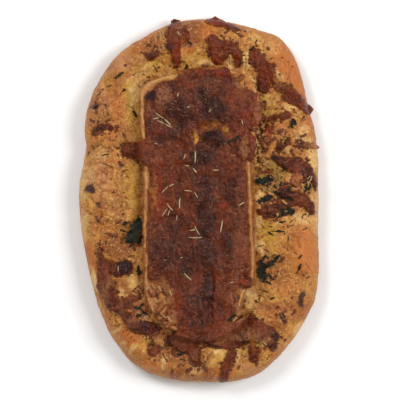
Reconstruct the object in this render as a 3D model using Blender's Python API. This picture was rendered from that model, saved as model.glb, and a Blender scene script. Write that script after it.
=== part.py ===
"""Brie focaccia: an oval flatbread with a slab of brie baked in, under browned grated cheese and herbs.

Run it with: blender --background --python part.py

+Z is up and +Y runs along the bread. The origin is under the bread's middle, on the table.
"""

import math

import bmesh
import bpy
import numpy as np
from mathutils import Vector

# Every size and place is in millimetres. It becomes metres where a mesh is made.
MM = 0.001

# The bread. OUTLINE is its widest line, anticlockwise from the right.
OUTLINE = [
    (68.8, 0), (68.2, 24), (66.6, 40), (62.5, 54), (59.3, 70), (54.0, 84), (46.0, 94), (35.5, 98.2),
    (20, 102.3), (0, 105), (-18, 101.8), (-34, 93.5), (-48.3, 83.6), (-58.2, 69.3), (-65, 54.6),
    (-66.8, 40), (-66.2, 29.5), (-69.3, 14), (-70, 0), (-67.6, -24.6), (-61.8, -51.8), (-56.7, -67.5),
    (-48.3, -83.6), (-35.3, -97), (-18.3, -103.7), (0, -105.6), (20, -105), (36.2, -99.3),
    (49.4, -86.2), (60, -71.5), (66.9, -56), (69.1, -39.9), (68.4, -20),
]
WIDEST_HEIGHT = 8.0
RIM_HEIGHT = 21.5
SHOULDER_WIDTH = 17.0
SHOULDER_POWER = 2.3
TUCK_IN = 5.5  # how far the underside's edge lies in from the widest line
TROUGH_DEPTH = 2.2
TROUGH_WIDTH = 8.0
# Broad lumps and hollows of the hand-pressed dough: x, y, radius, height
SWELLS = [
    (50, 80, 17, 2.2), (61, -30, 15, 1.8), (-46, -78, 15, 1.6), (-20, -97, 14, 1.6), (-50, 78, 12, 1.6),
    (-52, 2, 20, 1.8), (-64, 6.5, 5, 1.4), (-28, 84, 5.5, 1.2), (58.8, -57, 6, 1.6), (-61.5, 54.5, 5, 1.1),
    (48.5, -69, 4, 0.9), (28, -57, 9, 1.5), (8, -90, 9, 1.2), (44, -22, 12, -1.2), (-42, 55, 10, -1.3),
    (-30, 80, 12, -0.8), (0, 85, 9, -1.4), (42, 57, 8, -1.0), (44, 10, 9, -1.3), (-43, -48, 8, 1.2),
    (-36, -17, 7, -1.5), (36, -40, 7, -1.2),
]
# Creases where the dough folds over itself: x, y of both ends, half width, depth
CREASES = [
    (-57, 64, -43, 75, 2.2, 1.3), (52, -12, 50, -33, 2.6, 1.0), (-66, 30, -58, 31, 2.4, 1.2),
    (-60, -17, -57, -10, 2.0, 1.0), (25, -73, 34, -60, 2.2, 1.0), (-33, -84, -12, -88, 2.4, 1.1),
]
CRUST_RELIEF = [(24, 1.0, 11), (11, 0.75, 12), (6.5, 0.35, 13)]  # lump size, height, seed
SMOOTH_EDGE = 9.0  # the lumps, swells and creases die away over this width of the bread's side

# The slab of brie, an eight-sided piece whose corners melted round. Its rind stands as a thin rim.
SLAB_OUTLINE = [
    (29.8, 10), (29.6, 24), (33.2, 45), (34.2, 58), (28.5, 69.5), (17, 75.2), (0, 75), (-14, 72.6),
    (-26, 69.8), (-33, 65), (-34.7, 57), (-34.3, 42), (-32.7, 28), (-32.4, 5), (-32.8, -16),
    (-32.2, -34), (-32.2, -47), (-31, -57), (-25.5, -67.5), (-17, -74), (-4, -77.4), (9, -77),
    (18, -73), (22.6, -67), (23.8, -60), (26.4, -53), (30.4, -47), (31.6, -38), (31.2, -24), (30.4, -8),
]
SLAB_BOTTOM = 14.0
SLAB_TOP = 27.6
SLAB_UNDERCUT = 1.2
RIND_WIDTH = 2.9
RIND_HEIGHT = 0.9
MELTED_CORNERS = [(-27, -59, 10, 3.0), (23, -62, 7, 1.6), (24, 67, 9, 2.4)]  # x, y, radius, sag

# The browned cheese over the slab, and where it ran over the slab's edge: strokes of x, y, radius
BLANKET_MARGIN = 3.3
BLANKET_THICKNESS = 2.1
BLANKET_LIP = 0.9
BLANKET_SHOULDER = 3.0
BLANKET_THINNEST = 0.9
BLANKET_UNDER = 1.0  # how far it reaches below the slab before it is cut to lie on it
DRAPE = (-5.2, -1.4)  # distances in from the slab's side where the cheese leaves the bread and tops the slab
RIND_BRIDGE = 3.0  # width over which the cheese comes down off the rind
SPILLS = [
    [(-28, 29, 6.5), (-36, 28.3, 4.6), (-41, 28.8, 4.6)],
    [(-27, 23.5, 4), (-33, 23.3, 2.6)],
    [(-9, 70.5, 4), (3, 72, 4.6), (14, 71.6, 4.8)],
    [(20, 58, 8), (28, 57.5, 6.6), (32.5, 54, 4.4)],
    [(24, 48, 8), (31.5, 46.5, 4.4), (36, 47, 1.8)],
    [(24, 36, 7), (29.8, 34, 3), (29, 24, 2)],
    [(26.5, -46.8, 3.8), (23.4, -53, 3.2), (20.6, -60, 3.4), (21.8, -64.4, 3.2), (25.6, -63.6, 1.8)],
    [(0, -70, 14), (9, -76.5, 8.5), (19, -78, 7.6), (29, -74.4, 8.0), (37.5, -76.4, 6.0), (41, -79.4, 5.2),
     (42.6, -84.4, 3.4)],
    [(-5, -77, 8), (-11.5, -80.5, 5.6), (-16.2, -80.5, 3.8)],
    [(-7, -84.5, 5.4), (-3, -89, 4.2), (0.5, -94, 2.4)],
]
BARE_PATCHES = [(-29.5, -58.5, 11.5), (-36, -50, 9), (28, 70.6, 6.6), (-31, 68, 4.2), (31.6, -83.4, 3.6)]
# Ridges and pits of the blanket: x, y, half length along X, half length along Y, height
BLANKET_LUMPS = [
    (-16, 56, 9, 8, 1.1), (3, 66, 3, 8, 0.9), (20, 55, 10, 8, 1.0), (-20, 28, 11, 5, 1.1),
    (-18, 8, 9, 9, 0.7), (8, 22, 9, 7, 0.9), (20, 5, 6, 16, 0.8), (-6, -2, 8, 12, 0.7),
    (-20, -24, 8, 11, 0.9), (4, -30, 10, 9, 0.9), (22, -32, 6, 12, 0.7), (14, -52, 7, 11, 1.1),
    (-8, -56, 8, 12, 1.0), (2, -74, 12, 6, 1.3), (26, -77, 7, 5, 1.0), (40, -78, 5, 6, 1.2),
    (-40, 29, 4, 4, 1.0), (9, 36, 5, 4, 0.9), (31, 55, 4, 5, 0.7), (4, 41, 6, 3, -1.5),
    (-3, 36, 3, 3.5, -1.3), (16, 38, 4, 3.5, -1.3), (1, 33, 1.6, 3, -1.0), (-28, 60, 3, 5, -1.4),
    (7, -44, 2, 5, -0.9), (6, -60, 2, 8, -0.8), (22, -55, 2, 4, -1.2), (19, -70, 4, 1.6, -1.0),
]
BLANKET_RELIEF = [(9, 0.45, 21), (4.5, 0.3, 22)]

# Browned cheese melted onto the bread, by node: strokes of x, y, radius. Some hang a little over the edge.
CHEESE = {
    "cheese_top_left": [
        [(-14.6, 102.4, 3.8), (-15.2, 97, 5.0), (-14.4, 92, 4.9), (-15, 87.5, 3.8), (-14, 83, 2.8),
         (-13, 79.4, 1.9)],
        [(-17.2, 89, 2.2), (-18.4, 86.4, 1.3)],
    ],
    "cheese_top_rim": [
        [(4.2, 104.4, 1.2), (8.5, 104.2, 2.4), (12, 103, 2.2), (15.5, 101.2, 2.3), (19.4, 99.9, 2.2),
         (23, 98.4, 1.5)],
    ],
    "cheese_top_patch": [
        [(7.3, 92.2, 3.5), (8.6, 88, 4.2), (9.6, 83.6, 4.4), (10.6, 80.6, 3.2)],
        [(11, 89.4, 3.0), (17.3, 88.9, 3.3), (20.6, 85.6, 3.0), (21.6, 81.4, 2.6), (22.6, 78.4, 1.8)],
        [(8, 82, 2.8), (13, 81.9, 3.0), (15.4, 85, 2.2)],
    ],
    "cheese_right_streak": [
        [(30.8, 86, 2.0), (31.4, 82.5, 3.6), (34.4, 79.2, 4.0), (38.6, 77.4, 3.4), (42, 77.5, 2.0)],
        [(37.6, 76, 3.6), (37.6, 70.5, 5.2), (36.4, 66, 4.6), (37, 62.6, 2.9)],
        [(40.5, 72, 4.0), (44, 67.2, 3.4), (48.8, 63.5, 2.9), (52.4, 60.4, 3.9), (56.8, 57.3, 3.8),
         (60.6, 54.4, 3.3), (63, 51.8, 2.6)],
    ],
    "cheese_crumb_upper": [[(47.3, 47.4, 1.7), (50.4, 49.4, 2.1)]],
    "cheese_crumb_lower": [[(40.4, 46.2, 1.5), (43, 47.6, 1.6)]],
    "cheese_knot": [[(38.8, 40.4, 2.6), (38, 36.6, 2.9), (36.6, 33, 2.1), (38.2, 29.6, 1.8)]],
    "cheese_short_shred": [[(45.4, 28.8, 1.6), (47.2, 32.2, 2.1), (51, 35, 1.5)]],
    "cheese_thin_shred": [
        [(53.8, 31.2, 1.2), (57.5, 31.5, 1.5), (62, 31.9, 1.8), (65.3, 31.5, 2.2), (68, 30.6, 1.7)],
    ],
    "cheese_tongue": [
        [(43, 24.4, 2.0), (46.4, 21.8, 3.2), (51.4, 20.8, 4.2), (56.4, 20.3, 4.6), (61, 17.6, 4.0),
         (64.6, 13.4, 2.9), (66.4, 9.6, 2.2), (67, 6.6, 1.4)],
        [(56, 18, 3.2), (56.6, 13.6, 3.0), (55, 9.6, 2.4)],
    ],
    "cheese_right_cluster": [
        [(44.6, 4.0, 1.7), (49, 3.8, 2.8), (54.4, 2.4, 3.2), (59.6, 0.2, 3.7), (63.4, -3.2, 3.4),
         (65.4, -6.8, 2.4)],
    ],
    "cheese_wall_clump": [
        [(35, -6.6, 2.1), (38.4, -5.4, 3.3), (42, -4.9, 3.0), (44.8, -2.8, 1.9)],
        [(41, -9, 2.0), (40, -5, 2.5)],
    ],
    "cheese_left_dab": [[(-60, 40.6, 1.8), (-57.4, 41.6, 2.7), (-54.4, 42.4, 2.0), (-50.6, 41.4, 1.2)]],
    "cheese_left_curl": [
        [(-57.8, -29.4, 1.2), (-57.4, -33.6, 1.8), (-55, -38.2, 3.4), (-49, -39, 3.8), (-43.4, -38.6, 4.2),
         (-41.4, -38.6, 3.4)],
        [(-56, -41, 3.6), (-55.4, -48, 5.0), (-54.4, -54, 4.6), (-51.4, -59.4, 4.2), (-47.6, -63.6, 3.9)],
        [(-46.6, -60.4, 3.0), (-42.6, -59.4, 3.4), (-38.4, -57, 2.4), (-35.4, -55.6, 1.6)],
        [(-47.4, -64.6, 3.6), (-42.6, -68.6, 4.6), (-36.6, -72, 4.9), (-30.6, -73.8, 4.0),
         (-25.6, -75.6, 2.6)],
    ],
    "cheese_bottom_shred": [
        [(18.6, -88.6, 1.9), (18, -91.4, 2.3), (15.8, -95.4, 2.5), (13.8, -99.6, 2.5), (13, -104.6, 2.3)],
    ],
    "cheese_bottom_crumb": [[(-27.6, -87.4, 2.6), (-24.6, -85.2, 2.0)]],
    "cheese_corner_crumb": [[(31.2, -88.9, 1.5), (31.2, -92, 1.6)]],
}
CHEESE_THICKNESS = 1.9
CHEESE_LIP = 0.9
CHEESE_SHOULDER = 2.4
CHEESE_UNDER = 2.2  # how far it reaches under the crust before it is cut to lie on it
CHEESE_EDGE = (3.4, 0.45, 31)  # ragged edge: lump size, reach, seed
CHEESE_RELIEF = [(4.2, 0.45, 32), (2.4, 0.25, 33)]

# Baked herb leaves: x, y, length, half width, heading in degrees, curl height
LEAVES = {
    "leaf_left": (-38.2, -17.5, 16, 3.7, 63, 1.3),
    "leaf_left_small": (-35.2, -40.5, 6, 1.3, 88, 0.5),
    "leaf_right_upper": (36.8, 11.0, 10, 1.9, 8, 0.9),
    "leaf_right_middle": (37.6, 0.3, 9, 1.7, 22, 0.8),
    "leaf_right_lower": (50.4, -7.2, 9, 1.7, 8, 0.8),
    "leaf_right_bottom": (35.8, -41, 13, 2.2, 97, 1.0),
    "leaf_right_fork": (41.8, -35.5, 9, 1.5, 38, 0.8),
    "leaf_right_dark": (53.2, 44.2, 5.4, 2.3, 75, 0.9),
    "leaf_cluster": (60.9, 7.6, 6, 1.3, 80, 0.7),
}
LEAF_THICKNESS = 0.6
LEAF_LIFT = 0.5
LEAF_STATIONS = 5
LEAF_STRIPS = 2
LEAF_TIP = 0.3  # width at the ends, as a share of the widest

# Dried rosemary needles as they fell: x, y, length, heading in degrees
NEEDLES_ON_BLANKET = [
    (-23, 48.4, 6.0, -35), (-25.4, 46.8, 3.6, 12), (-22.6, 44.7, 4.6, -22), (-18.6, 44.6, 4.8, -46),
    (-18.2, 42.7, 4.4, -26), (-2.8, 24.6, 7.2, 88), (-8.9, 25, 3.4, 70), (-3, 17, 3.4, -50),
    (9, 17.2, 3.6, 3), (-20.2, 5.8, 5.2, 46), (-16.4, 8.4, 3.0, 30), (-7, 5.2, 4.6, -6),
    (-11.5, -2, 6.4, 88), (-2.2, 3, 3.8, -62), (-17.4, -4, 5.4, -49), (-20.2, -7.2, 5.6, 56),
    (-17.8, -7.4, 3.6, 72), (-13.4, -10.2, 3.0, 84), (-1.6, -17.4, 6.0, -62), (-4.4, -17.3, 3.4, 10),
    (-2.8, -21.4, 8.0, 0), (12.2, -15.4, 7.4, 80), (-6.9, -44, 5.8, -44), (24.2, 44.8, 3.2, -72),
    (23.6, -2.2, 3.8, 32), (-17, -53.4, 3.6, -66), (18, -47.4, 2.4, 20),
]
NEEDLES_ON_BREAD = [
    (-47.4, 72.2, 8.0, 38), (29, 87.4, 4.2, 47), (32.2, 91.3, 2.8, 66), (-8.4, 76.6, 3.6, 80),
    (-5.2, 90.4, 4.0, -30), (43.6, -18.2, 5.6, -9), (49.2, 38.6, 3.0, 70), (33.4, 12.4, 3.0, 2),
    (59.4, 47.2, 4.0, 50), (63.6, 4.4, 3.4, 55), (-25.6, 76, 4.2, -55), (-53.6, 20.4, 4.8, -24),
    (-54.4, 26, 4.6, 12), (-61.8, 30.6, 3.4, -60), (56.6, -40, 4.6, 75), (-48.8, -21.4, 4.4, 62),
    (-20.2, -91, 5.6, -62), (52.6, -14.6, 3.4, 15), (37.6, -52.6, 3.6, -25), (-36.8, 49.8, 3.6, -60),
    (60.6, -16.6, 3.6, 20), (-58.4, 61, 3.4, 40),
]
NEEDLE_RADIUS = 0.62
NEEDLE_RISE = 0.18
NEEDLE_ROOT = 1.3  # depth below its axis, in radii
NEEDLE_TIP = 0.5  # width at the ends, as a share of the middle
# Flakes of dried herb scattered over the bare crust by a seeded draw
FLAKE_COUNT = 26
FLAKE_RADIUS = (0.8, 1.5)
FLAKE_SIDES = 5
FLAKE_NARROWING = 0.6
FLAKE_LEVELS = [(-0.7, 0.8), (0.35, 0.7)]  # height from the crust, width as a share
FLAKE_SEED = 5
FLAKE_CLEARANCE = 2.2
FLAKE_SPACING = 6.0

GAP = 0.32  # between a topping and what it lies on

# Mesh steps of the solids
BREAD_SEGMENTS = 72
BREAD_SIDE_STEPS = 3
BREAD_RINGS = [0, 0.8, 2.4, 5, 8.5, 12.5, 17, 21.5, 26, 31, 36]  # distances in from the widest line
BREAD_INNER_RINGS = [0.42, 0.2]  # the last rings, under the slab, as shares of the outline
SLAB_SEGMENTS = 46
SLAB_RINGS = [0.3, RIND_WIDTH / 2, RIND_WIDTH + 0.6]
SLAB_INNER_RING = 0.6
BLANKET_STEP = 2.2
BLANKET_KEPT = 0.23  # share of the fine layer's triangles that stays
CHEESE_STEP = 1.25
CHEESE_KEPT = 0.24
FINE_LINE = 720  # points on a line that distances are measured from
SPLINE_PARTS = 24

# Name, colour and roughness of each finish
CRUST = ("crust", (0.42, 0.2, 0.06), 0.55)
BRIE_RIND = ("brie_rind", (0.6, 0.3, 0.12), 0.5)
BROWNED_CHEESE = ("browned_cheese", (0.13, 0.035, 0.02), 0.4)
HERB_LEAF = ("herb_leaf", (0.02, 0.03, 0.012), 0.6)
SHARP_DEGREES = 50


def closed_spline(points, count):
    """`count` points spaced evenly along a smooth closed curve through `points`."""
    p = np.array(points, float)
    before, after, beyond = np.roll(p, 1, 0), np.roll(p, -1, 0), np.roll(p, -2, 0)
    parts = []
    for t in np.linspace(0, 1, SPLINE_PARTS, endpoint=False):
        square = 2 * before - 5 * p + 4 * after - beyond
        cube = 3 * p - before - 3 * after + beyond
        parts.append(0.5 * (2 * p + (after - before) * t + square * t**2 + cube * t**3))
    curve = np.stack(parts, 1).reshape(-1, 2)
    curve = np.vstack([curve, curve[:1]])
    along = np.concatenate([[0], np.cumsum(np.linalg.norm(np.diff(curve, axis=0), axis=1))])
    places = np.linspace(0, along[-1], count, endpoint=False)
    return np.stack([np.interp(places, along, curve[:, k]) for k in range(2)], 1)


class PlanShape:
    """A closed line round the origin that tells how far inside it a place lies."""

    def __init__(self, points):
        line = closed_spline(points, FINE_LINE)
        tangent = np.roll(line, -1, 0) - np.roll(line, 1, 0)
        tangent /= np.linalg.norm(tangent, axis=1)[:, None]
        normal = np.stack([tangent[:, 1], -tangent[:, 0]], 1)
        angle = np.arctan2(line[:, 1], line[:, 0])
        order = np.argsort(angle)
        self.angle = angle[order]
        self.radius = np.linalg.norm(line, axis=1)[order]
        self.reach = (line * normal).sum(1)[order]

    def reach_at(self, x, y):
        """Distance from the origin to the line's tangent on the far side of a place."""
        return np.interp(np.arctan2(y, x), self.angle, self.reach, period=2 * math.pi)

    def inset(self, x, y):
        """Distance in from the line, negative outside it."""
        radius = np.interp(np.arctan2(y, x), self.angle, self.radius, period=2 * math.pi)
        return (1 - np.hypot(x, y) / radius) * self.reach_at(x, y)

    def moved_in(self, line, inset):
        """A copy of the line's points, moved in by `inset`."""
        return line * (1 - inset / self.reach_at(line[:, 0], line[:, 1]))[:, None]


BREAD = PlanShape(OUTLINE)
SLAB = PlanShape(SLAB_OUTLINE)


def lattice(column, row, seed):
    """A repeatable number from -1 to 1 for each whole-number place."""
    n = (column * 374761393 + row * 668265263 + seed * 974634777) & 0xFFFFFFFF
    n = ((n ^ (n >> 13)) * 1274126177) & 0xFFFFFFFF
    return ((n ^ (n >> 16)) & 0xFFFF) / 32767.5 - 1


def noise(x, y, size, seed):
    """Smooth lumps about `size` mm across, from -1 to 1."""
    u, v = np.asarray(x) / size, np.asarray(y) / size
    column, row = np.floor(u).astype(np.int64), np.floor(v).astype(np.int64)
    a, b = u - column, v - row
    a, b = a * a * (3 - 2 * a), b * b * (3 - 2 * b)
    low = lattice(column, row, seed) * (1 - a) + lattice(column + 1, row, seed) * a
    high = lattice(column, row + 1, seed) * (1 - a) + lattice(column + 1, row + 1, seed) * a
    return low * (1 - b) + high * b


def relief(x, y, layers):
    """Layers of noise, each of a lump size, height and seed."""
    return sum(height * noise(x, y, size, seed) for size, height, seed in layers)


def bump(x, y, cx, cy, half_x, half_y):
    """1 at a place, falling away round it."""
    return np.exp(-(((x - cx) / half_x) ** 2) - ((y - cy) / half_y) ** 2)


def smooth_step(value, start, end):
    """0 before start and 1 after end, with a soft rise between."""
    t = np.clip((value - start) / (end - start), 0, 1)
    return t * t * (3 - 2 * t)


def stroke_distance(x, y, stroke):
    """Distance outside a chain of round-ended strokes of x, y, radius; negative inside."""
    distances = []
    for (x0, y0, r0), (x1, y1, r1) in zip(stroke, stroke[1:]):
        dx, dy = x1 - x0, y1 - y0
        t = np.clip(((x - x0) * dx + (y - y0) * dy) / (dx * dx + dy * dy), 0, 1)
        distances.append(np.hypot(x - x0 - t * dx, y - y0 - t * dy) - r0 - t * (r1 - r0))
    return np.min(distances, axis=0)


def strokes_distance(x, y, strokes):
    """Distance outside the nearest of several strokes."""
    return np.min([stroke_distance(x, y, stroke) for stroke in strokes], axis=0)


def rounded_lip(inside, shoulder, lip, thickness):
    """Thickness of melted cheese, from its lip at the edge to its full depth."""
    depth = np.clip(inside / shoulder, 0, 1)
    return lip + (thickness - lip) * depth * (2 - depth), depth


def bread_height(x, y):
    """Height of the crust's upper side."""
    inset = BREAD.inset(x, y)
    fall = 1 - np.clip(inset / SHOULDER_WIDTH, 0, 1)
    shoulder = (1 - fall**SHOULDER_POWER) ** (1 / SHOULDER_POWER)
    beside_slab = np.maximum(-SLAB.inset(x, y), 0)
    trough = TROUGH_DEPTH * np.exp(-((beside_slab / TROUGH_WIDTH) ** 2))
    lumps = relief(x, y, CRUST_RELIEF)
    for cx, cy, radius, height in SWELLS:
        lumps = lumps + height * bump(x, y, cx, cy, radius, radius)
    for x0, y0, x1, y1, half, depth in CREASES:
        away = stroke_distance(x, y, [(x0, y0, 0), (x1, y1, 0)])
        lumps = lumps - depth * np.exp(-((away / half) ** 2))
    body = WIDEST_HEIGHT + (RIM_HEIGHT - WIDEST_HEIGHT) * shoulder
    return body - trough + lumps * smooth_step(inset, 0, SMOOTH_EDGE)


def slab_level(x, y):
    """Height of the slab's top without its rind: level, but sagging at the melted corners."""
    z = np.full(np.shape(x), SLAB_TOP)
    for cx, cy, radius, sag in MELTED_CORNERS:
        z = z - sag * bump(x, y, cx, cy, radius, radius)
    return z


def slab_height(x, y):
    """Height of the slab's top, with the thin rim of rind that stands round it."""
    from_crest = (SLAB.inset(x, y) - RIND_WIDTH / 2) / (RIND_WIDTH / 2)
    return slab_level(x, y) + RIND_HEIGHT * np.exp(-(from_crest**2))


def blanket_distance(x, y):
    """Distance outside the edge of the browned cheese on the slab; negative inside."""
    outside = BLANKET_MARGIN - SLAB.inset(x, y)
    for cx, cy, radius in BARE_PATCHES:
        outside = np.maximum(outside, radius - np.hypot(x - cx, y - cy))
    return np.minimum(outside, strokes_distance(x, y, SPILLS))


def blanket_height(x, y):
    """Height of the browned cheese: over the slab and its rind, then down its side and over the bread."""
    inset = SLAB.inset(x, y)
    on_slab = smooth_step(inset, *DRAPE)
    over_rind = RIND_HEIGHT * (1 - smooth_step(inset, RIND_WIDTH, RIND_WIDTH + RIND_BRIDGE))
    base = bread_height(x, y) * (1 - on_slab) + (slab_level(x, y) + over_rind) * on_slab
    body, depth = rounded_lip(-blanket_distance(x, y), BLANKET_SHOULDER, BLANKET_LIP, BLANKET_THICKNESS)
    lumps = relief(x, y, BLANKET_RELIEF)
    for cx, cy, half_x, half_y, height in BLANKET_LUMPS:
        lumps = lumps + height * bump(x, y, cx, cy, half_x, half_y)
    return base + body + np.maximum(lumps * depth, BLANKET_THINNEST - BLANKET_THICKNESS)


def material(name, colour, roughness):
    """A plain Principled material, made once."""
    made = bpy.data.materials.get(name)
    if made is None:
        made = bpy.data.materials.new(name)
        made.use_nodes = True
        shader = made.node_tree.nodes["Principled BSDF"]
        shader.inputs["Base Color"].default_value = (*colour, 1)
        shader.inputs["Roughness"].default_value = roughness
        shader.inputs["Metallic"].default_value = 0
    return made


def mesh_object(name, points, faces, finish):
    """An object from points in millimetres, in triangles that face out."""
    mesh = bpy.data.meshes.new(name)
    mesh.from_pydata([tuple(float(c) * MM for c in p) for p in points], [], faces)
    edit = bmesh.new()
    edit.from_mesh(mesh)
    bmesh.ops.triangulate(edit, faces=edit.faces)
    bmesh.ops.recalc_face_normals(edit, faces=edit.faces)
    edit.to_mesh(mesh)
    edit.free()
    mesh.materials.append(material(*finish))
    made = bpy.data.objects.new(name, mesh)
    bpy.context.scene.collection.objects.link(made)
    return made


def shade(obj):
    """Smooth shading with sharp edges kept."""
    obj.data.shade_smooth()
    obj.data.set_sharp_from_angle(angle=math.radians(SHARP_DEGREES))
    return obj


def ring_sides(count, rings):
    """The faces between `rings` rings of `count` points."""
    faces = []
    for low in range(0, count * (rings - 1), count):
        high = low + count
        faces += [(low + i, low + (i + 1) % count, high + (i + 1) % count, high + i) for i in range(count)]
    return faces


def stacked_rings(name, rings, finish):
    """A solid from rings of equal count, closed by a face at each end."""
    count = len(rings[0])
    points = [p for ring in rings for p in ring]
    ends = [tuple(range(count)), tuple(range(len(points) - count, len(points)))]
    return mesh_object(name, points, ends + ring_sides(count, len(rings)), finish)


def with_heights(line, height):
    """Points of a plan line at the heights of a surface, or at one height."""
    z = height(line[:, 0], line[:, 1]) if callable(height) else np.full(len(line), height)
    return np.column_stack([line, z])


def make_bread():
    """The bread's body: a flat underside, a rounded side and the lumpy crust."""
    line = closed_spline(OUTLINE, BREAD_SEGMENTS)
    rings = []
    for k in range(BREAD_SIDE_STEPS):
        turn = math.pi / 2 * k / BREAD_SIDE_STEPS
        inset, height = TUCK_IN * (1 - math.sin(turn)), WIDEST_HEIGHT * (1 - math.cos(turn))
        rings.append(with_heights(BREAD.moved_in(line, inset), height))
    rings += [with_heights(BREAD.moved_in(line, inset), bread_height) for inset in BREAD_RINGS]
    rings += [with_heights(line * share, bread_height) for share in BREAD_INNER_RINGS]
    return stacked_rings("focaccia_bread", rings, CRUST)


def make_slab():
    """The slab of brie, its lower half in the bread."""
    line = closed_spline(SLAB_OUTLINE, SLAB_SEGMENTS)
    rings = [with_heights(SLAB.moved_in(line, SLAB_UNDERCUT), SLAB_BOTTOM)]
    rings.append(with_heights(line, (SLAB_BOTTOM + SLAB_TOP) / 2))
    rings += [with_heights(SLAB.moved_in(line, inset), slab_height) for inset in SLAB_RINGS]
    rings.append(with_heights(line * SLAB_INNER_RING, slab_height))
    return shade(stacked_rings("brie_slab", rings, BRIE_RIND))


def grid_inside(distance, low, high, step):
    """Plan points on a grid and its cells inside a line; the outermost points are moved onto the line."""
    columns, rows = (int(math.ceil((b - a) / step)) + 1 for a, b in zip(low, high))
    x = low[0] + step * np.arange(columns)
    y = low[1] + step * np.arange(rows)
    x, y = np.meshgrid(x, y, indexing="ij")
    probe, gentlest, snap, keep = 0.05, 0.25, 0.55 * step, 0.25 * step
    for _ in range(2):
        away = distance(x, y)
        slope_x = (distance(x + probe, y) - distance(x - probe, y)) / (2 * probe)
        slope_y = (distance(x, y + probe) - distance(x, y - probe)) / (2 * probe)
        move = np.where(np.abs(away) < snap, away / np.maximum(slope_x**2 + slope_y**2, gentlest), 0)
        x, y = x - move * slope_x, y - move * slope_y
    inside = distance(x, y) < keep
    cells = inside[:-1, :-1] & inside[1:, :-1] & inside[:-1, 1:] & inside[1:, 1:]
    return x, y, largest_group(without_pinches(cells))


def without_pinches(cells):
    """The cells, with more of them where two would meet at a corner alone."""
    cells = cells.copy()
    while True:
        a, b, c, d = cells[:-1, :-1], cells[1:, :-1], cells[:-1, 1:], cells[1:, 1:]
        pinched = np.argwhere((a & d & ~b & ~c) | (b & c & ~a & ~d))
        if not len(pinched):
            return cells
        i, j = pinched[0]
        cells[i : i + 2, j : j + 2] = True


def largest_group(cells):
    """The largest group of cells that are joined side to side."""
    left, groups = set(map(tuple, np.argwhere(cells))), []
    while left:
        waiting = [min(left)]
        left.discard(waiting[0])
        group = []
        while waiting:
            i, j = waiting.pop()
            group.append((i, j))
            for place in ((i + 1, j), (i - 1, j), (i, j + 1), (i, j - 1)):
                if place in left:
                    left.discard(place)
                    waiting.append(place)
        groups.append(group)
    kept = np.zeros_like(cells)
    kept[tuple(np.array(max(groups, key=len)).T)] = True
    return kept


def layer(name, x, y, cells, top, bottom, share, finish):
    """A closed layer over the cells, between two height surfaces, in a share of its first triangles."""
    used = np.zeros(x.shape, bool)
    for i, j in np.argwhere(cells):
        used[i : i + 2, j : j + 2] = True
    index = np.cumsum(used).reshape(used.shape) * 2 - 2
    upper = np.column_stack([x[used], y[used], top(x, y)[used]])
    lower = np.column_stack([x[used], y[used], bottom(x, y)[used]])
    points = np.stack([upper, lower], 1).reshape(-1, 3)
    faces, edges = [], set()
    for i, j in np.argwhere(cells):
        corners = [int(index[p]) for p in ((i, j), (i + 1, j), (i + 1, j + 1), (i, j + 1))]
        faces += [tuple(corners), tuple(c + 1 for c in reversed(corners))]
        edges.update(zip(corners, corners[1:] + corners[:1]))
    faces += [(b, a, a + 1, b + 1) for a, b in sorted(edges) if (b, a) not in edges]
    made = mesh_object(name, points, faces, finish)
    modifier = made.modifiers.new("coarser", "DECIMATE")
    modifier.ratio = share
    return bake_modifiers(made)


def bake_modifiers(obj):
    """Makes an object's modifiers part of its mesh."""
    graph = bpy.context.evaluated_depsgraph_get()
    mesh = bpy.data.meshes.new_from_object(obj.evaluated_get(graph))
    obj.modifiers.clear()
    obj.data = mesh
    bpy.context.view_layer.update()
    return obj


def combine(obj, others, operation):
    """Joins or cuts an object with a collection of others."""
    group = bpy.data.collections.new(f"{obj.name}_{operation}")
    bpy.context.scene.collection.children.link(group)
    for other in others:
        group.objects.link(other)
    modifier = obj.modifiers.new(operation, "BOOLEAN")
    modifier.operation = operation
    modifier.operand_type = "COLLECTION"
    modifier.collection = group
    # The exact solver leaves open edges where the fine layers meet the crust.
    modifier.solver = "MANIFOLD"
    bake_modifiers(obj)
    bpy.data.collections.remove(group)
    return obj


def fuse(obj, others):
    """Joins other objects into one, then removes them."""
    combine(obj, others, "UNION")
    for other in others:
        bpy.data.objects.remove(other)
    return obj


def without_scraps(obj):
    """Keeps the largest body of a mesh, and drops the loose scraps that a cut leaves."""
    edit = bmesh.new()
    edit.from_mesh(obj.data)
    bmesh.ops.triangulate(edit, faces=edit.faces)
    left, bodies = set(edit.verts), []
    while left:
        waiting = [left.pop()]
        body = list(waiting)
        while waiting:
            vertex = waiting.pop()
            joined = {edge.other_vert(vertex) for edge in vertex.link_edges} & left
            left -= joined
            body += joined
            waiting += joined
        bodies.append(body)
    bodies.sort(key=len)
    for body in bodies[:-1]:
        bmesh.ops.delete(edit, geom=body, context="VERTS")
    edit.to_mesh(obj.data)
    edit.free()
    return obj


def swollen(obj):
    """A hidden copy of a solid with every face moved out by the gap, to cut what lies on it."""
    made = obj.copy()
    made.data = obj.data.copy()
    made.name = obj.name + "_cutter"
    made.hide_render = True
    made.display_type = "WIRE"
    bpy.context.scene.collection.objects.link(made)
    edit = bmesh.new()
    edit.from_mesh(made.data)
    edit.normal_update()
    moves = [vertex.normal * vertex.calc_shell_factor() * GAP * MM for vertex in edit.verts]
    for vertex, move in zip(edit.verts, moves):
        vertex.co += move
    edit.to_mesh(made.data)
    edit.free()
    return made


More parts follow.
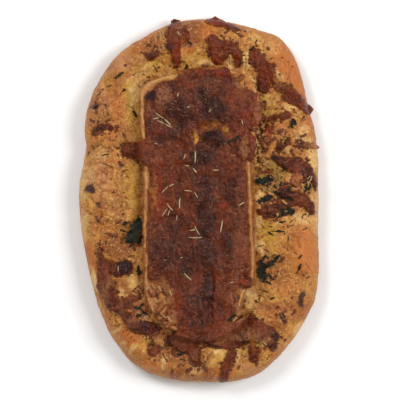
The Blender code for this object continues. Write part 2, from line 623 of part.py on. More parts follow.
def make_cheese(name, strokes, cutters):
    """Browned cheese along its strokes, ragged and lumpy, cut to lie on the crust."""
    edge_size, edge_reach, edge_seed = CHEESE_EDGE

    def distance(x, y):
        return strokes_distance(x, y, strokes) + edge_reach * noise(x, y, edge_size, edge_seed)

    def top(x, y):
        body, depth = rounded_lip(-distance(x, y), CHEESE_SHOULDER, CHEESE_LIP, CHEESE_THICKNESS)
        return bread_height(x, y) + body + relief(x, y, CHEESE_RELIEF) * depth

    def bottom(x, y):
        return bread_height(x, y) - CHEESE_UNDER

    places = np.array([place for stroke in strokes for place in stroke])
    margin = places[:, 2].max() + 2 * CHEESE_STEP
    low, high = places[:, :2].min(0) - margin, places[:, :2].max(0) + margin
    x, y, cells = grid_inside(distance, low, high, CHEESE_STEP)
    clump = layer(name, x, y, cells, top, bottom, CHEESE_KEPT, BROWNED_CHEESE)
    combine(clump, cutters, "DIFFERENCE")
    return shade(without_scraps(clump))


def make_blanket(cutters):
    """The browned cheese over the slab, with the rosemary needles that lie on it fused in."""
    line = closed_spline(SLAB_OUTLINE, SLAB_SEGMENTS)
    spills = np.array([(x, y) for stroke in SPILLS for x, y, _ in stroke])
    places = np.vstack([line, spills])
    margin = max(radius for stroke in SPILLS for _, _, radius in stroke)
    low, high = places.min(0) - margin, places.max(0) + margin
    x, y, cells = grid_inside(blanket_distance, low, high, BLANKET_STEP)

    def bottom(x, y):
        return np.full(np.shape(x), SLAB_BOTTOM - BLANKET_UNDER)

    blanket = layer("cheese_blanket", x, y, cells, blanket_height, bottom, BLANKET_KEPT, BROWNED_CHEESE)
    needles = [make_needle(*needle, blanket, BROWNED_CHEESE) for needle in NEEDLES_ON_BLANKET]
    fuse(blanket, needles)
    combine(blanket, cutters, "DIFFERENCE")
    return shade(without_scraps(blanket))


def top_of(obj, x, y):
    """Height of an object's upper side at a place, and its normal there."""
    hit, place, normal, _ = obj.ray_cast(Vector((x * MM, y * MM, 1)), Vector((0, 0, -1)))
    if not hit:
        raise ValueError(f"nothing of {obj.name} lies under {x}, {y}")
    return place.z / MM, normal


def directions(degrees):
    """The unit steps along a heading and to its left."""
    turn = math.radians(degrees)
    return Vector((math.cos(turn), math.sin(turn), 0)), Vector((-math.sin(turn), math.cos(turn), 0))


def make_needle(x, y, length, heading, carrier, finish):
    """A dried rosemary needle: a four-sided sliver with blunt ends, a little over half of it proud."""
    along, side = directions(heading)
    stations = []
    for way, width in ((-0.5, NEEDLE_TIP), (0, 1), (0.5, NEEDLE_TIP)):
        place = Vector((x, y, 0)) + along * length * way
        place.z = top_of(carrier, place.x, place.y)[0] + NEEDLE_RISE
        stations.append((place, width * NEEDLE_RADIUS))
    stations[1][0].z = max(stations[1][0].z, (stations[0][0].z + stations[2][0].z) / 2)
    points = []
    for place, radius in stations:
        for across, up in ((-1, 0), (0, -NEEDLE_ROOT), (1, 0), (0, 1)):
            points.append(place + (side * across + Vector((0, 0, up))) * radius)
    ends = [(0, 1, 2, 3), (8, 9, 10, 11)]
    return mesh_object("needle", points, ends + ring_sides(4, 3), finish)


def nearest_topping(x, y):
    """Distance from a place on the bread to the nearest topping; 0 or less is under one."""
    distances = [blanket_distance(x, y), -SLAB.inset(x, y)]
    distances += [strokes_distance(x, y, strokes) for strokes in CHEESE.values()]
    lying = [(cx, cy, length) for cx, cy, length, *_ in list(LEAVES.values()) + NEEDLES_ON_BREAD]
    distances += [math.hypot(x - cx, y - cy) - length / 2 for cx, cy, length in lying]
    return min(float(distance) for distance in distances)


def make_flake(x, y, radius, heading, carrier, finish):
    """A flake of dried herb: a low chip sunk in the crust."""
    height, normal = top_of(carrier, x, y)
    along, side = directions(heading)
    points = []
    for rise, share in FLAKE_LEVELS:
        for i in range(FLAKE_SIDES):
            turn = 2 * math.pi * i / FLAKE_SIDES
            spread = along * math.cos(turn) + side * FLAKE_NARROWING * math.sin(turn)
            points.append(Vector((x, y, height)) + spread * radius * share + normal * rise)
    ends = [tuple(range(FLAKE_SIDES)), tuple(range(FLAKE_SIDES, 2 * FLAKE_SIDES))]
    return mesh_object("flake", points, ends + ring_sides(FLAKE_SIDES, 2), finish)


def scatter_flakes(carrier, finish):
    """Flakes on the bare crust, clear of each other and of every topping."""
    draw = np.random.default_rng(FLAKE_SEED)
    flakes, placed = [], []
    reach = np.abs(OUTLINE).max(0)
    while len(flakes) < FLAKE_COUNT:
        x, y = draw.uniform(-reach, reach)
        radius, heading = draw.uniform(*FLAKE_RADIUS), draw.uniform(0, 360)
        crowded = any(math.hypot(x - a, y - b) < FLAKE_SPACING for a, b in placed)
        on_side = BREAD.inset(x, y) < FLAKE_SPACING
        if crowded or on_side or nearest_topping(x, y) < FLAKE_CLEARANCE + radius:
            continue
        placed.append((x, y))
        flakes.append(make_flake(x, y, radius, heading, carrier, finish))
    return flakes


def make_leaf(name, x, y, length, half, heading, curl, carrier):
    """A baked herb leaf: a thin wavy blade, both faces split alike, lying on the crust."""
    along, side = directions(heading)
    upper, lower = [], []
    for i in range(LEAF_STATIONS + 1):
        t = i / LEAF_STATIONS
        fullness = math.sin(math.pi * (0.12 + 0.86 * t)) ** 0.8
        width = half * (LEAF_TIP + (1 - LEAF_TIP) * fullness)
        for j in range(LEAF_STRIPS + 1):
            s = 2 * j / LEAF_STRIPS - 1
            place = Vector((x, y, 0)) + along * (t - 0.5) * length + side * s * width
            wave = curl * (0.5 * s * s + 0.35 * math.sin(7 * t + 2 * s) ** 2)
            z = top_of(carrier, place.x, place.y)[0] + LEAF_LIFT + wave
            lower.append((place.x, place.y, z))
            upper.append((place.x, place.y, z + LEAF_THICKNESS))
    row, count = LEAF_STRIPS + 1, len(lower)
    faces = []
    for i in range(LEAF_STATIONS):
        for j in range(LEAF_STRIPS):
            a, b, c, d = i * row + j, (i + 1) * row + j, (i + 1) * row + j + 1, i * row + j + 1
            for corners in ((a, b, c), (a, c, d)):
                faces += [corners, tuple(count + corner for corner in corners)]
    last = LEAF_STATIONS * row
    rim = list(range(LEAF_STRIPS)) + list(range(LEAF_STRIPS, last, row))
    rim += list(range(last + LEAF_STRIPS, last, -1)) + list(range(last, 0, -row))
    faces += [(a, b, count + b, count + a) for a, b in zip(rim, rim[1:] + rim[:1])]
    return shade(mesh_object(name, lower + upper, faces, HERB_LEAF))


def main():
    for obj in list(bpy.data.objects):
        bpy.data.objects.remove(obj)
    bread = make_bread()
    slab = make_slab()
    bread_cutter, slab_cutter = swollen(bread), swollen(slab)
    bpy.context.view_layer.update()
    for name, leaf in LEAVES.items():
        make_leaf(name, *leaf, bread)
    make_blanket([slab_cutter, bread_cutter])
    for name, strokes in CHEESE.items():
        make_cheese(name, strokes, [bread_cutter, slab_cutter])
    herbs = [make_needle(*needle, bread, CRUST) for needle in NEEDLES_ON_BREAD]
    herbs += scatter_flakes(bread, CRUST)
    combine(bread, [slab_cutter], "DIFFERENCE")
    fuse(bread, herbs)
    shade(without_scraps(bread))
    for cutter in (bread_cutter, slab_cutter):
        bpy.data.objects.remove(cutter)


main()
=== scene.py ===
"""The looks of a brie focaccia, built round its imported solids.

The crust, the slab of brie, the browned cheese and the herbs are fine meshes that keep the solids' forms.
"""

import math

import bpy
import numpy as np
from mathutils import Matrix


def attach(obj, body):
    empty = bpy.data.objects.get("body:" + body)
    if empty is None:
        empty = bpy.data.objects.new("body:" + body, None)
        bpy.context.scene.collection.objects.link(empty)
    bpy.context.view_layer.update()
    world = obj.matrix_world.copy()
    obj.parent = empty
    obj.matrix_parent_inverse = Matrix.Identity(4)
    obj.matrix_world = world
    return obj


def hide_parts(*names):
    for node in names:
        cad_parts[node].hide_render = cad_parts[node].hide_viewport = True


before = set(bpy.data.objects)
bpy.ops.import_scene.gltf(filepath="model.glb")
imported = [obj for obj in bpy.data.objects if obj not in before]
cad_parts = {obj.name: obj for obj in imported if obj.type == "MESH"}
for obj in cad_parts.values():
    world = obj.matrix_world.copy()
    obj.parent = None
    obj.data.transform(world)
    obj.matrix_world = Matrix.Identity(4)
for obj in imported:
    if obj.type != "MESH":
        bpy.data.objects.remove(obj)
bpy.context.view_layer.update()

# Sizes and places are in millimetres, as on the solids. They become metres where a mesh is made.
MM = 0.001

# The bread
OUTLINE = [
    (68.8, 0), (68.2, 24), (66.6, 40), (62.5, 54), (59.3, 70), (54.0, 84), (46.0, 94), (35.5, 98.2),
    (20, 102.3), (0, 105), (-18, 101.8), (-34, 93.5), (-48.3, 83.6), (-58.2, 69.3), (-65, 54.6),
    (-66.8, 40), (-66.2, 29.5), (-69.3, 14), (-70, 0), (-67.6, -24.6), (-61.8, -51.8), (-56.7, -67.5),
    (-48.3, -83.6), (-35.3, -97), (-18.3, -103.7), (0, -105.6), (20, -105), (36.2, -99.3), (49.4, -86.2),
    (60, -71.5), (66.9, -56), (69.1, -39.9), (68.4, -20),
]
WIDEST_HEIGHT = 8.0
RIM_HEIGHT = 21.5
SHOULDER_WIDTH = 17.0
SHOULDER_POWER = 2.3
TUCK_IN = 5.5
TROUGH_DEPTH = 2.2
TROUGH_WIDTH = 8.0
# Swells and dips of the crust: x, y, radius, height
SWELLS = [
    (50, 80, 17, 2.2), (61, -30, 15, 1.8), (-46, -78, 15, 1.6), (-20, -97, 14, 1.6), (-50, 78, 12, 1.6),
    (-52, 2, 20, 1.8), (-64, 6.5, 5, 1.4), (-28, 84, 5.5, 1.2), (58.8, -57, 6, 1.6), (-61.5, 54.5, 5, 1.1),
    (48.5, -69, 4, 0.9), (28, -57, 9, 1.5), (8, -90, 9, 1.2), (44, -22, 12, -1.2), (-42, 55, 10, -1.3),
    (-30, 80, 12, -0.8), (0, 85, 9, -1.4), (42, 57, 8, -1.0), (44, 10, 9, -1.3), (-43, -48, 8, 1.2),
    (-36, -17, 7, -1.5), (36, -40, 7, -1.2),
]
# Creases of the crust: x, y of both ends, half width, depth
CREASES = [
    (-57, 64, -43, 75, 2.2, 1.3), (52, -12, 50, -33, 2.6, 1.0), (-66, 30, -58, 31, 2.4, 1.2),
    (-60, -17, -57, -10, 2.0, 1.0), (25, -73, 34, -60, 2.2, 1.0), (-33, -84, -12, -88, 2.4, 1.1),
]
# Layers of lumps: their size, height and seed
CRUST_RELIEF = [(24, 1.0, 11), (11, 0.75, 12), (6.5, 0.35, 13)]
CRUST_SWAY = [(8.5, 0.5, 79)]
CRUST_CRUMBLE = [(3.6, 0.34, 73), (1.9, 0.2, 74)]
CRUST_GRAIN = [(9.0, 0.35, 39), (5.0, 0.25, 40), (2.4, 0.26, 41), (1.2, 0.18, 42)]
SMOOTH_EDGE = 9.0
# Blisters and pores: how many, seed, and the ranges of radius, squeeze and height
CRUST_MARKS = [
    (170, 71, (1.0, 3.2), (0.6, 1), (0.2, 0.6)), (900, 72, (0.45, 0.95), (0.5, 1), (-0.75, -0.3)),
]
# Wrinkles: the size of their pattern, its turn and seed
WRINKLES = [(6.5, 20, 83), (4.2, -35, 86)]
WRINKLE_WIDTH = 0.42
WRINKLE_DEPTH = 0.3
FOLD_WIDTH = 0.55
FOLD_DEPTH = 0.7

# The slab of brie
SLAB_OUTLINE = [
    (29.8, 10), (29.6, 24), (33.2, 45), (34.2, 58), (28.5, 69.5), (17, 75.2), (0, 75), (-14, 72.6),
    (-26, 69.8), (-33, 65), (-34.7, 57), (-34.3, 42), (-32.7, 28), (-32.4, 5), (-32.8, -16), (-32.2, -34),
    (-32.2, -47), (-31, -57), (-25.5, -67.5), (-17, -74), (-4, -77.4), (9, -77), (18, -73), (22.6, -67),
    (23.8, -60), (26.4, -53), (30.4, -47), (31.6, -38), (31.2, -24), (30.4, -8),
]
SLAB_BOTTOM = 14.0
SLAB_TOP = 27.6
SLAB_UNDERCUT = 1.2
RIND_WIDTH = 2.9
RIND_HEIGHT = 0.9
SLAB_ROUNDING = 1.7
SLAB_GRAIN = [(3.1, 0.36, 44), (1.3, 0.18, 45)]
# Lumps of the steep sides of the slab and of the cheese over it
SIDE_LUMPS = [(7, 0.7, 57), (3.2, 0.4, 58)]
# Corners that sagged as they melted: x, y, radius, sag
MELTED_CORNERS = [(-27, -59, 10, 3.0), (23, -62, 7, 1.6), (24, 67, 9, 2.4)]
# Folds of the melted corners: x, y of both ends, half width, height
SLAB_FOLDS = [
    (-31.2, -49, -30, -58, 1.1, 0.5), (-30, -58, -24, -68.5, 1.3, 0.6), (-22.5, -66, -16.5, -73, 1.0, 0.6),
    (-27.5, -48, -25.5, -58, 0.9, 0.4), (-22.5, -49, -21.5, -60, 1.0, 0.4),
    (-26.5, -60, -19.5, -65, 0.9, 0.4), (-29, -53, -25, -51, 0.8, 0.3), (20, 73.5, 30, 66.5, 1.2, 0.5),
    (19, 68, 24.5, 65.2, 1.0, 0.4),
]

# The browned cheese over the slab
BLANKET_MARGIN = 3.3
BLANKET_THICKNESS = 2.1
BLANKET_LIP = 0.35
BLANKET_SHOULDER = 3.0
DRAPE = (-5.2, -1.4)
RIND_BRIDGE = 3.0
# Where the cheese ran over the slab's edge: strokes of x, y, radius
SPILLS = [
    [(-28, 29, 6.5), (-36, 28.3, 4.6), (-41, 28.8, 4.6)],
    [(-27, 23.5, 4), (-33, 23.3, 2.6)],
    [(-9, 70.5, 4), (3, 72, 4.6), (14, 71.6, 4.8)],
    [(20, 58, 8), (28, 57.5, 6.6), (32.5, 54, 4.4)],
    [(24, 48, 8), (31.5, 46.5, 4.4), (36, 47, 1.8)],
    [(24, 36, 7), (29.8, 34, 3), (29, 24, 2)],
    [(26.5, -46.8, 3.8), (23.4, -53, 3.2), (20.6, -60, 3.4), (21.8, -64.4, 3.2), (25.6, -63.6, 1.8)],
    [(0, -70, 14), (9, -76.5, 8.5), (19, -78, 7.6), (29, -74.4, 8.0), (37.5, -76.4, 6.0), (41, -79.4, 5.2),
     (42.6, -84.4, 3.4)],
    [(-5, -77, 8), (-11.5, -80.5, 5.6), (-16.2, -80.5, 3.8)],
    [(-7, -84.5, 5.4), (-3, -89, 4.2), (0.5, -94, 2.4)],
]
# Where it left the slab bare: x, y, radius
BARE_PATCHES = [(-29.5, -58.5, 11.5), (-36, -50, 9), (28, 70.6, 6.6), (-31, 68, 4.2), (31.6, -83.4, 3.6)]
# Lumps and hollows of the blanket: x, y, half sizes, height
BLANKET_LUMPS = [
    (-16, 56, 9, 8, 1.1), (3, 66, 3, 8, 0.9), (20, 55, 10, 8, 1.0), (-20, 28, 11, 5, 1.1),
    (-18, 8, 9, 9, 0.7), (8, 22, 9, 7, 0.9), (20, 5, 6, 16, 0.8), (-6, -2, 8, 12, 0.7),
    (-20, -24, 8, 11, 0.9), (4, -30, 10, 9, 0.9), (22, -32, 6, 12, 0.7), (14, -52, 7, 11, 1.1),
    (-8, -56, 8, 12, 1.0), (2, -74, 12, 6, 1.3), (26, -77, 7, 5, 1.0), (40, -78, 5, 6, 1.2),
    (-40, 29, 4, 4, 1.0), (9, 36, 5, 4, 0.9), (31, 55, 4, 5, 0.7), (4, 41, 6, 3, -1.8),
    (-3, 36, 3, 3.5, -1.6), (16, 38, 4, 3.5, -1.6), (2, 33.5, 1.8, 3.4, -1.6), (-28.4, 59.6, 3, 4.6, -1.0),
    (7, -44, 2, 5, -0.9), (6, -60, 2, 8, -0.8), (22, -55, 2, 4, -1.2), (19, -70, 4, 1.6, -1.0),
    (-12, -80, 4, 2.6, 1.6), (-4, -81.6, 3.4, 2.6, 1.4), (3.5, -81.4, 3.4, 2.4, 1.7),
    (11, -81.8, 4, 2.4, 1.5), (18.5, -79.4, 3.4, 2.6, 1.7), (24, -74.2, 3.4, 2.6, 1.5),
    (30.4, -70.8, 3, 2.4, 1.0), (33.6, -78.6, 3, 3, 1.0), (-37, 28, 2.6, 3.4, 0.9), (31.4, 50.4, 2, 3, 0.9),
    (30.6, 38, 2, 3, 0.9), (25, -50, 2, 2.4, 0.8), (-5, 12, 3, 6, 0.6), (13, 0, 2.6, 7, 0.6),
    (-13, -38, 3, 8, 0.6), (24, -12, 2.4, 8, 0.6), (-24, -6, 3, 5, 0.6), (2, -8, 2.4, 7, -0.6),
    (17, -22, 3, 5, -0.6), (-12, 20, 6, 2.4, -0.6), (-24, 40, 5, 3, 0.7), (-8, 66, 5, 5, 0.6),
    (13, 64, 3, 7, -0.6), (28, 44, 3, 4, 0.6),
]
BLANKET_RELIEF = [(9, 0.8, 21), (4.5, 0.65, 22)]
# The grid that the blanket is cut from: its low and its high corner
BLANKET_REACH = ((-48, -99), (48, 80))
BLANKET_CEILING = 32.3
CEILING_GIVE = 1.6
BLANKET_SUNK = 0.7
BLANKET_EDGE = [(3.2, 0.5, 81), (1.5, 0.3, 82)]
BLANKET_GRAIN = [(1.1, 0.1, 51)]
# How much longer than wide the melted curds are, and their seed
BLANKET_TEXTURE = (2.2, 91)
PATCH_TEXTURE = (1.3, 92)
CORNER_TEXTURE = (1.5, 93)
# How far the curds lie off the points of their grid, as a share of its step
CURD_SCATTER = 0.42
# The height below which the cheese runs down a side
BLANKET_BRIM = 25
PATCH_BRIM = 17
# Creases in the blanket: a line of x, y, x, y ..., half width, depth
BLANKET_CREASES = [
    (6, -38, 7.5, -50, 5.5, -62, 7, -74, 0.9, 1.0), (11, -44, 17, -41, 27, -39, 0.8, 0.7),
    (12, -44, 13, -56, 11, -66, 0.8, 0.6), (-12, -44, -15, -56, -13, -68, 0.9, 0.7),
    (15, 22, 14, 8, 15, -6, 0.9, 0.7), (-27, 18, -10, 20.5, 0.9, 0.6), (-30, 38, -14, 35, -7, 30, 1.0, 0.8),
    (2, 74, 0.5, 60, 4, 48, 1.2, 0.9), (10, 62, 6, 52, 12, 44, 0.9, 0.6),
    (-27, -12, -14, -9, -8, -13, 0.9, 0.6), (-6, -22, -4, -34, -7, -42, 0.9, 0.6),
    (14, -71, 20, -72.5, 25, -67.5, 28.5, -64.5, 0.9, 1.3), (-20, -77, -11, -76, -2, -80, 0.9, 0.8),
    (24, 22, 22, 6, 23.5, -12, 22, -30, 0.7, 0.5),
]

# Browned cheese on the bread, by the node of the solid: strokes of x, y, radius
CHEESE = {
    "cheese_top_left": [
        [(-14.6, 102.4, 3.8), (-15.2, 97, 5.0), (-14.4, 92, 4.9), (-15, 87.5, 3.8), (-14, 83, 2.8),
         (-13, 79.4, 1.9)],
        [(-17.2, 89, 2.2), (-18.4, 86.4, 1.3)],
    ],
    "cheese_top_rim": [
        [(4.2, 104.4, 1.2), (8.5, 104.2, 2.4), (12, 103, 2.2), (15.5, 101.2, 2.3), (19.4, 99.9, 2.2),
         (23, 98.4, 1.5)],
    ],
    "cheese_top_patch": [
        [(7.3, 92.2, 3.5), (8.6, 88, 4.2), (9.6, 83.6, 4.4), (10.6, 80.6, 3.2)],
        [(11, 89.4, 3.0), (17.3, 88.9, 3.3), (20.6, 85.6, 3.0), (21.6, 81.4, 2.6), (22.6, 78.4, 1.8)],
        [(8, 82, 2.8), (13, 81.9, 3.0), (15.4, 85, 2.2)],
    ],
    "cheese_right_streak": [
        [(30.8, 86, 2.0), (31.4, 82.5, 3.6), (34.4, 79.2, 4.0), (38.6, 77.4, 3.4), (42, 77.5, 2.0)],
        [(37.6, 76, 3.6), (37.6, 70.5, 5.2), (36.4, 66, 4.6), (37, 62.6, 2.9)],
        [(40.5, 72, 4.0), (44, 67.2, 3.4), (48.8, 63.5, 2.9), (52.4, 60.4, 3.9), (56.8, 57.3, 3.8),
         (60.6, 54.4, 3.3), (63, 51.8, 2.6)],
    ],
    "cheese_crumb_upper": [[(47.3, 47.4, 1.7), (50.4, 49.4, 2.1)]],
    "cheese_crumb_lower": [[(40.4, 46.2, 1.5), (43, 47.6, 1.6)]],
    "cheese_knot": [[(38.8, 40.4, 2.6), (38, 36.6, 2.9), (36.6, 33, 2.1), (38.2, 29.6, 1.8)]],
    "cheese_short_shred": [[(45.4, 28.8, 1.6), (47.2, 32.2, 2.1), (51, 35, 1.5)]],
    "cheese_thin_shred": [
        [(53.8, 31.2, 1.2), (57.5, 31.5, 1.5), (62, 31.9, 1.8), (65.3, 31.5, 2.2), (68, 30.6, 1.7)],
    ],
    "cheese_tongue": [
        [(43, 24.4, 2.0), (46.4, 21.8, 3.2), (51.4, 20.8, 4.2), (56.4, 20.3, 4.6), (61, 17.6, 4.0),
         (64.6, 13.4, 2.9), (66.4, 9.6, 2.2), (67, 6.6, 1.4)],
        [(56, 18, 3.2), (56.6, 13.6, 3.0), (55, 9.6, 2.4)],
    ],
    "cheese_right_cluster": [
        [(44.6, 4.0, 1.7), (49, 3.8, 2.8), (54.4, 2.4, 3.2), (59.6, 0.2, 3.7), (63.4, -3.2, 3.4),
         (65.4, -6.8, 2.4)],
    ],
    "cheese_wall_clump": [
        [(35, -6.6, 2.1), (38.4, -5.4, 3.3), (42, -4.9, 3.0), (44.8, -2.8, 1.9)],
        [(41, -9, 2.0), (40, -5, 2.5)],
    ],
    "cheese_left_dab": [[(-60, 40.6, 1.8), (-57.4, 41.6, 2.7), (-54.4, 42.4, 2.0), (-50.6, 41.4, 1.2)]],
    "cheese_left_curl": [
        [(-57.8, -29.4, 1.2), (-57.4, -33.6, 1.8), (-55, -38.2, 3.4), (-49, -39, 3.8), (-43.4, -38.6, 4.2),
         (-41.4, -38.6, 3.4)],
        [(-56, -41, 3.6), (-55.4, -48, 5.0), (-54.4, -54, 4.6), (-51.4, -59.4, 4.2), (-47.6, -63.6, 3.9)],
        [(-46.6, -60.4, 3.0), (-42.6, -59.4, 3.4), (-38.4, -57, 2.4), (-35.4, -55.6, 1.6)],
        [(-47.4, -64.6, 3.6), (-42.6, -68.6, 4.6), (-36.6, -72, 4.9), (-30.6, -73.8, 4.0),
         (-25.6, -75.6, 2.6)],
    ],
    "cheese_bottom_shred": [
        [(18.6, -88.6, 1.9), (18, -91.4, 2.3), (15.8, -95.4, 2.5), (13.8, -99.6, 2.5), (13, -104.6, 2.3)],
    ],
    "cheese_bottom_crumb": [[(-27.6, -87.4, 2.6), (-24.6, -85.2, 2.0)]],
    "cheese_corner_crumb": [[(31.2, -88.9, 1.5), (31.2, -92, 1.6)]],
}
CHEESE_THICKNESS = 1.9
CHEESE_LIP = 0.3
CHEESE_SHOULDER = 2.4
CHEESE_EDGE = [(3.4, 0.45, 31), (2.3, 0.55, 34), (1.3, 0.3, 35)]
CHEESE_RELIEF = [(4.2, 0.45, 32), (2.4, 0.25, 33)]
CHEESE_GRAIN = [(1.0, 0.14, 52)]
CHEESE_SUNK = 0.9
# How much the drips narrow for each millimetre that they run down below the bread's shoulder
DRIP_TAPER = 0.09
DRIP_START = 3
# Thin scraps of browned cheese that only lie on the surface, as strokes of x, y, radius
MELTED_SCRAPS = {
    "browned_scab": [
        [(-31.4, 84.4, 1.3), (-28.4, 82.8, 2.3), (-25, 84.4, 1.9)], [(-28, 84, 1.5), (-27, 88, 1.0)],
    ],
    "curds_by_wall": [
        [(42.6, -5.2, 2.4), (47.4, -2.8, 2.8), (52.4, -1.4, 2.6), (57, -0.6, 2.4)],
        [(44.6, 3.6, 2.0), (47.4, 6.2, 2.4), (51.4, 6.6, 1.6)], [(37.6, -8.6, 1.6), (41.6, -8.8, 2.0)],
    ],
    "strand_by_corner": [
        [(-42.4, -59.4, 2.2), (-37.6, -55.2, 2.3), (-33.8, -50.8, 2.1), (-32, -48.2, 1.2)],
    ],
    "curds_by_knot": [
        [(35.4, 43.4, 1.3), (38.6, 41.8, 1.8), (40.6, 38.4, 1.4)], [(33.4, 47.4, 1.2), (38.4, 46.4, 1.1)],
    ],
    "curds_at_foot": [
        [(29, -86, 1.6), (30.4, -83.2, 2.2), (34.6, -85.6, 1.4)], [(22.6, -83.6, 1.6), (25.4, -81.4, 1.6)],
    ],
}
SCRAP_THICKNESS = 1.2
# Melted olive-gold cheese round the leaves on the right, as strokes
GOLD_MELT = [
    [(37.4, 22, 2.0), (42, 20, 2.8), (46.4, 15.8, 2.9), (46.4, 10.6, 2.4), (44.4, 6.6, 1.4)],
    [(35, 16, 1.6), (35.4, 10, 1.5)], [(37.6, 6.6, 1.8), (41.4, 4.6, 2.2), (43.6, 1.6, 1.4)],
    [(34.6, -1.8, 1.3), (36.6, -3.6, 1.2)], [(46.4, -6.4, 1.3), (51.4, -5.4, 1.3)],
]
GOLD_THICKNESS = 0.7

# Baked herb leaves: x, y, length, half width, heading in degrees, curl height
LEAVES = {
    "leaf_left": (-38.2, -17.5, 16, 3.7, 63, 1.3),
    "leaf_left_small": (-35.2, -40.5, 6, 1.3, 88, 0.5),
    "leaf_right_upper": (36.8, 11.0, 10, 1.9, 8, 0.9),
    "leaf_right_middle": (37.6, 0.3, 9, 1.7, 22, 0.8),
    "leaf_right_lower": (50.4, -7.2, 9, 1.7, 8, 0.8),
    "leaf_right_bottom": (35.8, -41, 13, 2.2, 97, 1.0),
    "leaf_right_fork": (41.8, -35.5, 9, 1.5, 38, 0.8),
    "leaf_right_dark": (53.2, 44.2, 5.4, 2.3, 75, 0.9),
    "leaf_cluster": (60.9, 7.6, 6, 1.3, 80, 0.7),
}
LEAF_THICKNESS = 0.45
LEAF_LIFT = 0.3
LEAF_TIP = 0.3
SCRAP_CURL = 0.5
# Scraps of broken leaf: x, y, length, half width, heading
LEAF_SCRAPS = [
    (-42.5, -13.2, 5, 0.9, 20), (-34.6, -23.0, 5, 1.0, 75), (-41.2, -22.6, 4, 0.9, -30),
    (-36.2, -11.4, 3.6, 0.8, 50), (44.2, 4.6, 5.0, 0.7, -12), (48.6, -5.4, 4.5, 0.7, 25),
    (40.6, -44.2, 5, 0.7, -58), (36.6, -33.6, 4.0, 0.6, 60), (39.4, -47.6, 4, 0.6, -20),
    (-37.6, 49.6, 4.6, 0.8, -62), (41.6, 11.6, 3.2, 0.7, 35), (46.4, 9.4, 3.2, 0.6, 70),
    (43.8, -9.4, 4.0, 0.7, -35), (63.2, 7.4, 4, 0.8, 62), (40.8, -19.4, 4.4, 0.5, -30),
    (43.4, 7.6, 3.0, 0.6, -50), (52.2, 0.8, 4, 0.8, -20), (18.2, -67.8, 5.4, 1.1, 32),
    (57.8, -32.6, 3.4, 0.5, 50), (47.6, -12.6, 4.4, 0.5, 10), (42.8, 24.6, 3.2, 0.7, 8),
    (48.4, 17.4, 3.2, 0.6, 40), (50, 9, 3.2, 0.6, 10), (-46.6, 72, 6.4, 0.6, 38),
    (29.6, 87.4, 4.6, 0.6, 45), (-11.2, -88.6, 4.0, 1.0, 10), (-60.4, 53.4, 3.4, 0.8, 30),
    (21.2, 35.2, 4.2, 1.0, 60), (17.4, 33.8, 3.4, 0.9, 15), (57.6, -38.4, 4.0, 0.6, 70),
    (44.6, -32.4, 4.0, 0.7, 20), (-7.6, 76.8, 3.0, 0.6, 80), (-5.8, 90.6, 4, 0.6, -35),
    (-43.8, 63, 2.6, 0.6, 20), (48.4, -66.6, 3.0, 0.6, -60), (32.6, -58.4, 3.0, 0.5, -25),
    (41.6, -56.6, 3.0, 0.6, 10), (46.4, -17.8, 5.0, 0.5, -8), (51.6, 6.4, 3.4, 0.7, 70),
    (-40.6, -19.4, 4.4, 1.0, 80), (-44.4, -17.6, 3.4, 0.7, -10), (40.6, 13.8, 3.6, 0.7, -15),
    (39.6, 9.0, 4.0, 0.6, 30), (40.6, 2.2, 3.2, 0.6, -10), (52.8, -5.4, 4.0, 0.7, -15),
    (47.6, 1.4, 3.4, 0.6, -20), (46.8, -9.2, 3.6, 0.7, 15), (38.6, -38.4, 3.2, 0.6, 20),
    (38.8, -32.8, 3.0, 0.6, -35), (-35.6, -62.2, 4.6, 0.9, -15), (-31.8, -65, 4, 0.8, -40),
    (-35, -66.4, 3.6, 0.8, 20), (-33.6, -60.6, 3, 0.5, 50), (60.8, 10.6, 3.6, 0.7, 50),
    (5.4, 38.0, 3.0, 0.8, 40), (-39.6, -26.4, 3.6, 0.6, 30), (-35.4, -15.6, 3.6, 0.7, -60),
]

# Dried rosemary needles: x, y, length, heading. The pale ones are straw coloured, the dark ones scorched.
PALE_NEEDLES = [
    (-23, 48.4, 6.0, -35), (-25.4, 46.8, 3.6, 12), (-22.6, 44.7, 4.6, -22), (-18.6, 44.6, 4.8, -46),
    (-18.2, 42.7, 4.4, -26), (-2.8, 24.6, 7.2, 88), (-8.9, 25, 3.4, 70), (-3, 17, 3.4, -50),
    (9, 17.2, 3.6, 3), (-20.2, 5.8, 5.2, 46), (-16.4, 8.4, 3.0, 30), (-7, 5.2, 4.6, -6),
    (-11.5, -2, 6.4, 88), (-2.2, 3, 3.8, -62), (-17.4, -4, 5.4, -49), (-20.2, -7.2, 5.6, 56),
    (-17.8, -7.4, 3.6, 72), (-13.4, -10.2, 3.0, 84), (-1.6, -17.4, 6.0, -62), (-4.4, -17.3, 3.4, 10),
    (-2.8, -21.4, 8.0, 0), (12.2, -15.4, 7.4, 80), (-6.9, -44, 5.8, -44), (24.2, 44.8, 3.2, -72),
    (23.6, -2.2, 3.8, 32), (-17, -53.4, 3.6, -66), (18, -47.4, 2.4, 20), (-7.5, 19.8, 2.4, -12),
    (-30, -50.6, 2.6, 30), (-30.6, -67.2, 4.2, 6), (-31.4, -68.6, 2.6, -60), (-35.2, -65.2, 3.4, -25),
    (-21.2, -83, 4.4, 88), (37.4, -82.8, 3.6, -40), (-47, -39.5, 3.2, 88), (63.4, 11.4, 5.4, 64),
    (62.2, 12.8, 4.0, 40), (-49.4, -21.4, 3.8, 66), (32.6, 12.6, 3.4, 2), (45, -13.6, 4.2, -14),
    (-12.4, 96.4, 2.4, -60), (-10.6, 95.4, 2.6, 15), (55.4, 35.4, 5.4, 84), (-10.6, -33, 1.8, 20),
    (-12.6, 60.4, 2.6, 70), (-6.6, 53.4, 2.4, 30), (-25.2, 32.4, 2.2, -20), (5.6, 51.2, 2.2, 60),
]
